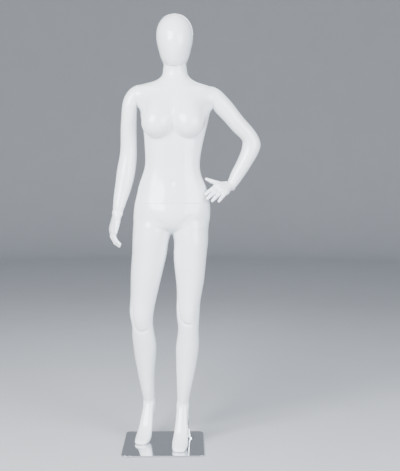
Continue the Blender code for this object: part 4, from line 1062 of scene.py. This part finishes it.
@dataclass
class Torso:
    """The trunk, breasts, shoulders and neck in one shell."""

    trunk: Sequence[Station] = (
        (0.962, -0.119, 0.1915, -0.094, 0.112), (0.994, -0.1145, 0.190, -0.090, 0.096),
        (1.022, -0.107, 0.185, -0.086, 0.086), (1.060, -0.0985, 0.174, -0.082, 0.076),
        (1.100, -0.085, 0.157, -0.080, 0.068), (1.140, -0.073, 0.149, -0.080, 0.064),
        (1.180, -0.071, 0.151, -0.082, 0.066), (1.220, -0.073, 0.158, -0.085, 0.072),
        (1.265, -0.076, 0.168, -0.088, 0.082), (1.310, -0.082, 0.179, -0.090, 0.092),
        (1.350, -0.088, 0.188, -0.090, 0.098), (1.385, -0.093, 0.193, -0.084, 0.098),
        (1.420, -0.090, 0.190, -0.070, 0.090), (1.450, -0.060, 0.160, -0.046, 0.076))
    neck: Sequence[Station] = (
        (1.440, -0.035, 0.135, -0.050, 0.078), (1.470, -0.020, 0.118, -0.042, 0.075),
        (1.490, -0.008, 0.106, -0.038, 0.071), (1.512, 0.0005, 0.0985, -0.036, 0.065),
        (1.540, 0.003, 0.095, -0.039, 0.059), (1.620, 0.006, 0.093, -0.058, 0.046))
    yoke: Sequence[Station] = (
        (-0.126, 1.383, 1.467, -0.036, 0.048), (-0.106, 1.383, 1.467, -0.036, 0.048),
        (-0.060, 1.360, 1.477, -0.056, 0.074), (-0.010, 1.351, 1.486, -0.060, 0.080),
        (0.0495, 1.350, 1.490, -0.060, 0.082), (0.109, 1.350, 1.484, -0.060, 0.080),
        (0.159, 1.356, 1.472, -0.056, 0.074), (0.205, 1.376, 1.460, -0.036, 0.048),
        (0.225, 1.376, 1.460, -0.036, 0.048))
    breasts: Sequence[Ball] = (Ball((-0.021, -0.078, 1.312), (0.061, 0.053, 0.058)),
                               Ball((0.103, -0.078, 1.312), (0.061, 0.053, 0.058)))
    slopes: Sequence[Ball] = (Ball((-0.022, -0.056, 1.350), (0.045, 0.050, 0.058)),
                              Ball((0.104, -0.056, 1.350), (0.045, 0.050, 0.058)))
    waist: float = 0.994
    waist_pocket: Sequence[tuple[float, float]] = ((0.0, SHELL_WALL), (0.006, 0.006), (0.022, 0.011), (0.026, 0.020))
    shoulders: Sequence[Sequence[float]] = ((-0.106, 0.006, 1.425), (0.205, 0.006, 1.418))
    shoulder_pocket: Sequence[tuple[float, float]] = ((0.0, SHELL_WALL), (0.026, 0.007))
    neck_top: Sequence[float] = (0.0485, 0.010, 1.562)
    neck_way: Sequence[float] = (0.0, -0.34202, 0.939693)
    cell: float = 0.0033

    def __post_init__(self) -> None:
        """Fit the masses of the shell and lay out its details."""
        self.body = Column(self.trunk, 2.25)
        self.throat = Column(self.neck)
        self.bar = Column(self.yoke, 2.0, 0.008, Place((0, 0, 0), (0, 0, 1), (0, 1, 0), (1, 0, 0)))
        middle = 0.045
        self.details: list[Form] = [
            Crease([(middle - 0.016, -0.055, 1.440), (middle - 0.070, -0.058, 1.452), (middle - 0.125, -0.030, 1.458)],
                   0.010, 0.0030),
            Crease([(middle + 0.016, -0.055, 1.440), (middle + 0.070, -0.058, 1.452), (middle + 0.125, -0.030, 1.458)],
                   0.010, 0.0030),
            Swell((middle + 0.002, -0.052, 1.448), (0.018, 0.02, 0.016), -0.0030),
            Crease([(middle + 0.001, -0.095, 1.330), (0.040, -0.086, 1.240), (0.037, -0.082, 1.130)], 0.016, -0.0035),
            Swell((0.037, -0.084, 1.075), (0.010, 0.02, 0.014), -0.0035),     # navel
            Swell((0.037, -0.086, 1.030), (0.060, 0.03, 0.040), 0.0030),      # belly
            Crease([(0.045, 0.098, 1.400), (0.042, 0.085, 1.250), (0.037, 0.064, 1.140), (0.036, 0.085, 1.010)],
                   0.018, -0.0055),
            Swell((-0.030, 0.098, 1.365), (0.040, 0.04, 0.055), 0.0055),      # shoulder blades
            Swell((0.122, 0.098, 1.365), (0.040, 0.04, 0.055), 0.0055),
            Crease([(0.000, 0.030, 1.545), (0.018, -0.030, 1.490), (0.036, -0.045, 1.455)], 0.009, 0.0022),
            Crease([(0.097, 0.030, 1.545), (0.079, -0.030, 1.490), (0.058, -0.045, 1.455)], 0.009, 0.0022),
        ]

    def outer(self, points: np.ndarray) -> np.ndarray:
        """Return distances to the shell's outside, whole at the seams.

        Args:
            points: Rows of coordinates above the soles.

        Returns:
            A distance for each row.
        """
        shoulders = joined(self.bar(points), self.throat(points), 0.040)
        body = joined(self.body(points), shoulders, 0.022)
        bust = np.minimum(self.breasts[0](points), self.breasts[1](points))
        for slope in self.slopes:
            bust = joined(bust, slope(points), 0.030)
        blend = np.interp(points[:, 2], (1.250, 1.285, 1.340), (0.006, 0.014, 0.050))
        return raised(joined(body, bust, blend), points, self.details)

    def build(self, wardrobe: Wardrobe) -> list[str]:
        """Build and dress the shell.

        Args:
            wardrobe: The finishes.

        Returns:
            The CAD nodes that it replaces.
        """
        seams = [Seam((CENTRE_X, 0.0, self.waist), (0, 0, -1), self.waist_pocket),
                 Seam(self.shoulders[0], (-1, 0, 0), self.shoulder_pocket, 0.075),
                 Seam(self.shoulders[1], (1, 0, 0), self.shoulder_pocket, 0.075),
                 Seam(self.neck_top, self.neck_way)]
        shell = ShellMaker(Skinner(self.cell)).make("torso", self.outer, (-0.145, -0.155, self.waist - 0.045),
                                                    (0.245, 0.130, 1.640), seams)
        wardrobe.dress(shell, Slot.WHITE_SHELL, "torso", "torso_shell")
        return ["torso_shell"]


@dataclass
class Head:
    """The featureless egg of the head."""

    egg: Sequence[Station] = (
        (-0.006, -0.048, 0.048, -0.060, 0.050), (0.0, -0.0495, 0.0495, -0.062, 0.054),
        (0.012, -0.0535, 0.0535, -0.078, 0.064), (0.034, -0.0605, 0.0605, -0.092, 0.078),
        (0.060, -0.067, 0.067, -0.0975, 0.090), (0.085, -0.0723, 0.0723, -0.0975, 0.0985),
        (0.110, -0.0728, 0.0728, -0.0925, 0.1025), (0.136, -0.0683, 0.0683, -0.080, 0.099),
        (0.158, -0.057, 0.057, -0.062, 0.086), (0.174, -0.042, 0.042, -0.042, 0.064),
        (0.183, -0.025, 0.025, -0.022, 0.040), (0.1875, 0.0, 0.0, 0.008, 0.008))
    neck_top: Sequence[float] = (0.0485, 0.010, 1.562)
    neck_way: Sequence[float] = (0.0, -0.34202, 0.939693)
    pocket: Sequence[tuple[float, float]] = ((0.0, SHELL_WALL), (0.050, SHELL_WALL))
    cell: float = 0.003

    def __post_init__(self) -> None:
        """Fit the egg to the top of the neck."""
        way = Vector(self.neck_way)
        side = Vector((1, 0, 0))
        place = Place(self.neck_top, side, way.cross(side), way)
        self.shape = Column(self.egg, 2.0, 0.004, place, True)

    def build(self, wardrobe: Wardrobe) -> list[str]:
        """Build and dress the head.

        Args:
            wardrobe: The finishes.

        Returns:
            The CAD nodes that it replaces.
        """
        seams = [Seam(self.neck_top, -Vector(self.neck_way), self.pocket)]
        shell = ShellMaker(Skinner(self.cell)).make("head", self.shape, (-0.045, -0.185, 1.500),
                                                    (0.142, 0.130, 1.785), seams)
        wardrobe.dress(shell, Slot.WHITE_SHELL, "head", "head_shell")
        return ["head_shell"]


class Side(Enum):
    """Which of the figure's own sides a limb is on, and the way it lies along X."""

    RIGHT = -1
    LEFT = 1


ARM_STATIONS = {
    Side.RIGHT: (
        (-0.106, 0.006, 1.425, 90, 0.042, 0.042), (-0.1235, 0.006, 1.406, 60, 0.0385, 0.043),
        (-0.1335, 0.007, 1.377, 25, 0.0310, 0.042), (-0.1365, 0.009, 1.344, 0, 0.0307, 0.040),
        (-0.139, 0.013, 1.294, 0, 0.032, 0.038), (-0.1395, 0.018, 1.244, 0, 0.0325, 0.036),
        (-0.141, 0.022, 1.194, 0, 0.034, 0.0355), (-0.147, 0.022, 1.146, 0, 0.037, 0.037),
        (-0.1535, 0.019, 1.104, 5, 0.0367, 0.036), (-0.163, 0.013, 1.054, 8, 0.033, 0.032),
        (-0.175, 0.005, 1.004, 11, 0.027, 0.0275), (-0.1835, -0.002, 0.961, 11, 0.0205, 0.0235)),
    Side.LEFT: (
        (0.205, 0.006, 1.418, 90, 0.042, 0.042), (0.225, 0.007, 1.4015, 60, 0.0385, 0.0425),
        (0.2465, 0.010, 1.3785, 47, 0.0375, 0.0415), (0.2715, 0.015, 1.351, 41, 0.0355, 0.040),
        (0.3165, 0.028, 1.300, 40, 0.034, 0.0375), (0.342, 0.036, 1.275, 36, 0.0325, 0.036),
        (0.3555, 0.041, 1.255, 22, 0.0335, 0.0355), (0.361, 0.044, 1.232, 4, 0.037, 0.0355),
        (0.356, 0.045, 1.2065, -14, 0.035, 0.0355), (0.3385, 0.045, 1.170, -27, 0.031, 0.035),
        (0.3185, 0.042, 1.133, -29, 0.0285, 0.032), (0.300, 0.038, 1.103, -32, 0.026, 0.028),
        (0.278, 0.031, 1.065, -37, 0.0200, 0.0230)),
}
WRIST_WAYS = {Side.RIGHT: (-0.18848, -0.155777, -0.969644), Side.LEFT: (-0.594493, -0.155517, -0.788919)}


@dataclass
class Arm:
    """One arm, from the flat of the shoulder to the flat of the wrist."""

    side: Side
    pocket: Sequence[tuple[float, float]] = ((0.0, SHELL_WALL), (0.030, SHELL_WALL))
    cell: float = 0.0028
    margin: float = 0.055
    details: dict[Side, list[Form]] = field(default_factory=lambda: {
        Side.RIGHT: [
            Swell((-0.112, -0.010, 1.150), (0.016, 0.02, 0.022), -0.0015),
            Swell((-0.150, 0.062, 1.150), (0.014, 0.02, 0.018), 0.0035),
            Swell((-0.160, -0.022, 1.385), (0.030, 0.03, 0.045), 0.0020),
        ],
        Side.LEFT: [
            Swell((0.398, 0.062, 1.232), (0.018, 0.02, 0.018), 0.0030),
            Swell((0.325, 0.020, 1.240), (0.014, 0.02, 0.014), -0.0020),
        ]})

    def __post_init__(self) -> None:
        """Fit the arm's path."""
        self.stations = ARM_STATIONS[self.side]
        self.limb = Limb(self.stations, self.side.value, 0.020)
        self.wrist = np.array(self.stations[-1][:3])
        self.way = np.array(WRIST_WAYS[self.side])

    def form(self, points: np.ndarray) -> np.ndarray:
        """Return distances to the arm.

        Args:
            points: Rows of coordinates above the soles.

        Returns:
            A distance for each row.
        """
        return raised(self.limb(points), points, self.details[self.side])

    def build(self, wardrobe: Wardrobe) -> list[str]:
        """Build and dress the arm.

        Args:
            wardrobe: The finishes.

        Returns:
            The CAD nodes that it replaces.
        """
        name = self.side.name.lower()
        middles = np.array([station[:3] for station in self.stations])
        seams = [Seam(self.stations[0][:3], (-self.side.value, 0, 0), reach=0.056),
                 Seam(self.wrist, self.way, self.pocket, 0.06)]
        shell = ShellMaker(Skinner(self.cell)).make(f"{name}_arm", self.form, middles.min(axis=0) - self.margin,
                                                    middles.max(axis=0) + self.margin, seams)
        wardrobe.dress(shell, Slot.WHITE_SHELL, f"{name}_arm", f"{name}_arm_shell")
        return [f"{name}_arm_shell"]


@dataclass
class Hand:
    """One hand, from the flat of the wrist to the fingertips."""

    side: Side
    palm: Sequence[Sequence[float]] = (
        (0.0, 0.0180, 0.0170), (0.018, 0.0210, 0.0165), (0.042, 0.0260, 0.0155), (0.070, 0.0315, 0.0142),
        (0.082, 0.0312, 0.0115), (0.090, 0.028, 0.0090))
    palm_lean: float = 0.055
    cuff_share: float = 0.94
    fingers: Sequence[Station] = (
        (0.023, 0.076, 5, 0.068, 0.0085), (0.008, 0.079, 1, 0.075, 0.0087),
        (-0.0075, 0.077, -3, 0.070, 0.0083), (-0.022, 0.071, -8, 0.056, 0.0073))
    joint_shares: Sequence[float] = (0.44, 0.30, 0.26)
    thumb_radii: Sequence[float] = (0.0125, 0.0108, 0.0084, 0.0056)
    cell: float = 0.0016
    margin: float = 0.035

    def __post_init__(self) -> None:
        """Place the hand on its wrist and lay out its fingers."""
        stations = ARM_STATIONS[self.side]
        self.wrist = np.array(stations[-1][:3])
        self.way = Vector(WRIST_WAYS[self.side])
        left = self.side is Side.LEFT
        reach = Vector((-0.54, -0.80, -0.22) if left else (-0.275, -0.06, -0.960)).normalized()
        back = Vector((0.43, -0.45, 0.78) if left else (-0.93, -0.30, 0.20))
        back = (back - reach * back.dot(reach)).normalized()
        self.place = Place(self.wrist, reach.cross(back), back, reach)
        self.curl = (16, 12, 10) if left else (16, 27, 22)
        self.thumb = (((0.014, 0.022, -0.008), (0.038, 0.045, -0.008), (0.060, 0.066, -0.006), (0.0775, 0.082, -0.003))
                      if left else
                      ((0.010, 0.014, 0.0), (0.034, 0.042, -0.002), (0.045, 0.066, -0.003), (0.050, 0.087, -0.004)))
        turn = math.radians(stations[-1][3])
        across = Vector((math.cos(turn), 0.0, self.side.value * math.sin(turn)))
        half_a, half_b = stations[-1][4:6]
        deep = self.way.cross(across).normalized()
        cuff = Place(self.wrist, across, deep, self.way)
        half_a, half_b = half_a * self.cuff_share, half_b * self.cuff_share
        self.cuff = Column([(place, -half_a, half_a, -half_b, half_b) for place in (-0.02, 0.0, 0.012)], place=cuff)
        lean = self.palm_lean * self.side.value
        self.body = Column([(along, lean * along - wide, lean * along + wide, -thick, thick)
                            for along, wide, thick in self.palm], 2.4, 0.004, self.place)
        self.digits = [self._finger(*finger) for finger in self.fingers]
        self.digits.append(Tube([self._spot(x, y, z) for x, y, z in self.thumb], self.thumb_radii))
        self.details = self._details()

    def _spot(self, across: float, reach: float, back: float) -> np.ndarray:
        """Return a point given across towards the thumb, along the reach and towards the back."""
        return self.place.world((self.side.value * across, back, reach))

    def _finger_joints(self, across: float, reach: float, splay: float, length: float) -> list[Sequence[float]]:
        """Return a finger's joints, across, along and towards the back.

        Args:
            across: Place across the knuckles.
            reach: Place of the knuckle along the hand.
            splay: Spread in degrees.
            length: The finger's length.

        Returns:
            Five points.
        """
        points = [(across, reach - 0.012, 0.0), (across, reach, 0.0)]
        bend = 0.0
        for share, turn in zip(self.joint_shares, self.curl):
            bend += math.radians(turn)
            step = Vector((math.sin(math.radians(splay)), math.cos(bend), -math.sin(bend))).normalized()
            points.append(tuple(Vector(points[-1]) + step * length * share))
        return points

    def _finger(self, across: float, reach: float, splay: float, length: float, radius: float) -> Tube:
        """Return one finger.

        Args:
            across: Place across the knuckles.
            reach: Place of the knuckle along the hand.
            splay: Spread in degrees.
            length: The finger's length.
            radius: Its radius at the knuckle.

        Returns:
            The finger.
        """
        joints = self._finger_joints(across, reach, splay, length)
        radii = [radius * share for share in (0.8, 1.0, 0.95, 0.88, 0.72)]
        return Tube([self._spot(*joint) for joint in joints], radii)

    def _details(self) -> list[Form]:
        """Return the knuckles, tendons and nails.

        Returns:
            The swells and creases of the hand.
        """
        details: list[Form] = []
        for across, reach, splay, length, radius in self.fingers:
            joints = self._finger_joints(across, reach, splay, length)
            details.append(Swell(self._spot(across, reach, radius), (0.007, 0.007, 0.007), 0.0012))
            details.append(Crease([self._spot(across * 0.5, 0.030, 0.014), self._spot(across, reach - 0.006, radius)],
                                  0.0045, 0.0004))
            middle, tip = Vector(joints[3]), Vector(joints[4])
            nail = middle.lerp(tip, 0.75)
            details.append(Swell(self._spot(nail[0], nail[1], nail[2] + radius * 0.72), (0.0042, 0.0042, 0.0042),
                                 -0.0007))
            details.append(Swell(self._spot(joints[2][0], joints[2][1], joints[2][2] + radius),
                                 (0.005, 0.005, 0.005), 0.0006))
        return details

    def form(self, points: np.ndarray) -> np.ndarray:
        """Return distances to the hand.

        Args:
            points: Rows of coordinates above the soles.

        Returns:
            A distance for each row.
        """
        palm = joined(self.cuff(points), self.body(points), 0.012)
        fingers = self.digits[0](points)
        for digit in self.digits[1:-1]:
            fingers = joined(fingers, digit(points), 0.0035)
        palm = joined(palm, fingers, 0.011)
        return raised(joined(palm, self.digits[-1](points), 0.014), points, self.details)

    def build(self, wardrobe: Wardrobe) -> list[str]:
        """Build and dress the hand.

        Args:
            wardrobe: The finishes.

        Returns:
            The CAD nodes that it replaces.
        """
        name = self.side.name.lower() + "_hand"
        spots = np.concatenate([digit.points for digit in self.digits] + [self.wrist[None, :]])
        low, high = spots.min(axis=0) - self.margin, spots.max(axis=0) + self.margin
        shell = ShellMaker(Skinner(self.cell)).make(name + "_shell", self.form, low, high,
                                                    [Seam(self.wrist, -self.way, reach=0.06)])
        wardrobe.dress(shell, Slot.WHITE_SHELL, name, name)
        return [name]


@dataclass
class BasePlate:
    """The square mirror-polished plate that the figure stands on."""

    side: float = 0.330
    low: float = 0.0018
    high: float = 0.0058
    corner: float = 0.020
    edge: float = 0.0009
    corner_steps: int = 10

    def _ring(self, inset: float, height: float) -> list[Vector]:
        """Return the plate's outline, moved inwards, at one height.

        Args:
            inset: How far inwards.
            height: The height.

        Returns:
            The outline's points.
        """
        half, radius = self.side / 2 - self.corner, self.corner - inset
        ring = []
        for quarter, (x, y) in enumerate(((1, 1), (-1, 1), (-1, -1), (1, -1))):
            for step in range(self.corner_steps + 1):
                angle = math.pi / 2 * (quarter + step / self.corner_steps)
                ring.append(Vector((half * x + radius * math.cos(angle), half * y + radius * math.sin(angle), height)))
        return ring

    def build(self, wardrobe: Wardrobe) -> list[str]:
        """Build and dress the plate.

        Args:
            wardrobe: The finishes.

        Returns:
            The CAD nodes that it replaces.
        """
        profile = []
        for step in range(5):
            angle = math.pi / 2 * step / 4
            profile.append((self.edge * (1 - math.sin(angle)), self.low + self.edge * (1 - math.cos(angle))))
        profile += [(inset, self.high + self.low - height) for inset, height in reversed(profile)]
        bm = bmesh.new()
        rings = [[bm.verts.new(point) for point in self._ring(inset, height)] for inset, height in profile]
        for lower, upper in zip(rings, rings[1:]):
            for i in range(len(lower)):
                after = (i + 1) % len(lower)
                bm.faces.new((lower[i], lower[after], upper[after], upper[i])).smooth = True
        bm.faces.new(rings[0][::-1])
        bm.faces.new(rings[-1])
        mesh = bpy.data.meshes.new("polished_plate")
        bm.to_mesh(mesh)
        bm.free()
        plate = bpy.data.objects.new("polished_plate", mesh)
        bpy.context.scene.collection.objects.link(plate)
        wardrobe.dress(plate, Slot.POLISHED_STEEL, "base", "base_plate")
        return ["base_plate"]


# ---- studio -----------------------------------------------------------------------
@dataclass(frozen=True)
class Studio:
    """The pale floor, the soft lights and the camera."""

    camera_spot: Sequence[float] = (0.1057, -3.499, 1.1127)
    pitch: float = -0.0701
    yaw: float = 0.0126
    lens: float = 65.82
    floor_radius: float = 8.0
    wall_height: float = 6.0
    floor_sides: int = 96

    def camera(self) -> None:
        """Set up the camera."""
        data = bpy.data.cameras.new("camera")
        data.lens, data.sensor_width = self.lens, 36.0
        eye = bpy.data.objects.new("camera", data)
        eye.location = self.camera_spot
        ahead = Vector((math.sin(self.yaw) * math.cos(self.pitch), math.cos(self.yaw) * math.cos(self.pitch),
                        math.sin(self.pitch)))
        eye.rotation_euler = ahead.to_track_quat("-Z", "Y").to_euler()
        bpy.context.scene.collection.objects.link(eye)
        bpy.context.scene.camera = eye

    def floor(self) -> None:
        """Lay a round pale floor that curves up far from the figure."""
        rise = self.floor_radius * 0.25
        profile = [(self.floor_radius * share, 0.0) for share in (0.1, 0.5, 1.0)]
        profile += [(self.floor_radius + rise * math.sin(angle), rise * (1 - math.cos(angle)))
                    for angle in [math.pi / 2 * step / 12 for step in range(1, 13)]]
        profile.append((self.floor_radius + rise, self.wall_height))
        bm = bmesh.new()
        middle = bm.verts.new((0, 0, 0))
        rings = []
        for radius, height in profile:
            angles = [2 * math.pi * i / self.floor_sides for i in range(self.floor_sides)]
            rings.append([bm.verts.new((radius * math.cos(a), radius * math.sin(a), height)) for a in angles])
        for i in range(self.floor_sides):
            after = (i + 1) % self.floor_sides
            bm.faces.new((middle, rings[0][i], rings[0][after]))
            for lower, upper in zip(rings, rings[1:]):
                bm.faces.new((lower[i], lower[after], upper[after], upper[i])).smooth = True
        mesh = bpy.data.meshes.new("studio_floor")
        bm.to_mesh(mesh)
        bm.free()
        floor = bpy.data.objects.new("studio_floor", mesh)
        bpy.context.scene.collection.objects.link(floor)
        mesh.materials.append(Moulded("pale_floor", (0.44, 0.45, 0.47, 1.0), (0.48, 0.49, 0.51, 1.0), 0.7, 3.0,
                                      0.0002).make())

    def light(self, name: str, spot: Sequence[float], aim: Sequence[float], size: float, power: float,
              colour: Sequence[float]) -> None:
        """Hang one soft light.

        Args:
            name: Its name.
            spot: Where it hangs.
            aim: What it points at.
            size: Its side in metres.
            power: Its power in watts.
            colour: Its colour.
        """
        data = bpy.data.lights.new(name, "AREA")
        data.size, data.energy, data.color = size, power, colour
        lamp = bpy.data.objects.new(name, data)
        lamp.location = spot
        lamp.rotation_euler = (Vector(aim) - Vector(spot)).to_track_quat("-Z", "Y").to_euler()
        bpy.context.scene.collection.objects.link(lamp)

    def build(self) -> None:
        """Set up the whole studio."""
        self.camera()
        self.floor()
        self.light("key", (-1.9, -3.0, 2.7), (0.0, 0.0, 1.0), 2.4, 520.0, (0.97, 0.99, 1.0))
        self.light("fill", (2.6, -2.6, 1.7), (0.0, 0.0, 0.9), 2.4, 240.0, (0.90, 0.95, 1.0))
        self.light("rim", (0.4, 2.4, 2.8), (0.0, 0.0, 1.2), 1.6, 22.0, (0.88, 0.94, 1.0))
        world = bpy.data.worlds.new("studio")
        world.use_nodes = True
        world.node_tree.nodes["Background"].inputs["Color"].default_value = (0.82, 0.88, 1.0, 1.0)
        world.node_tree.nodes["Background"].inputs["Strength"].default_value = 0.55
        bpy.context.scene.world = world


def main() -> None:
    """Build the studio and every piece."""
    logging.basicConfig(level=logging.INFO, format="%(name)s: %(message)s")
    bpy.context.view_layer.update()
    Studio().build()
    wardrobe = Wardrobe()
    replaced: set[str] = set()
    pieces = [LowerBody(), Torso(), Head(), Arm(Side.RIGHT), Arm(Side.LEFT), Hand(Side.RIGHT), Hand(Side.LEFT),
              BasePlate()]
    for piece in pieces:
        replaced.update(piece.build(wardrobe))
        LOG.info("built %s", type(piece).__name__)
    wardrobe.dress_frame(replaced)


if __name__ == "__main__":
    main()
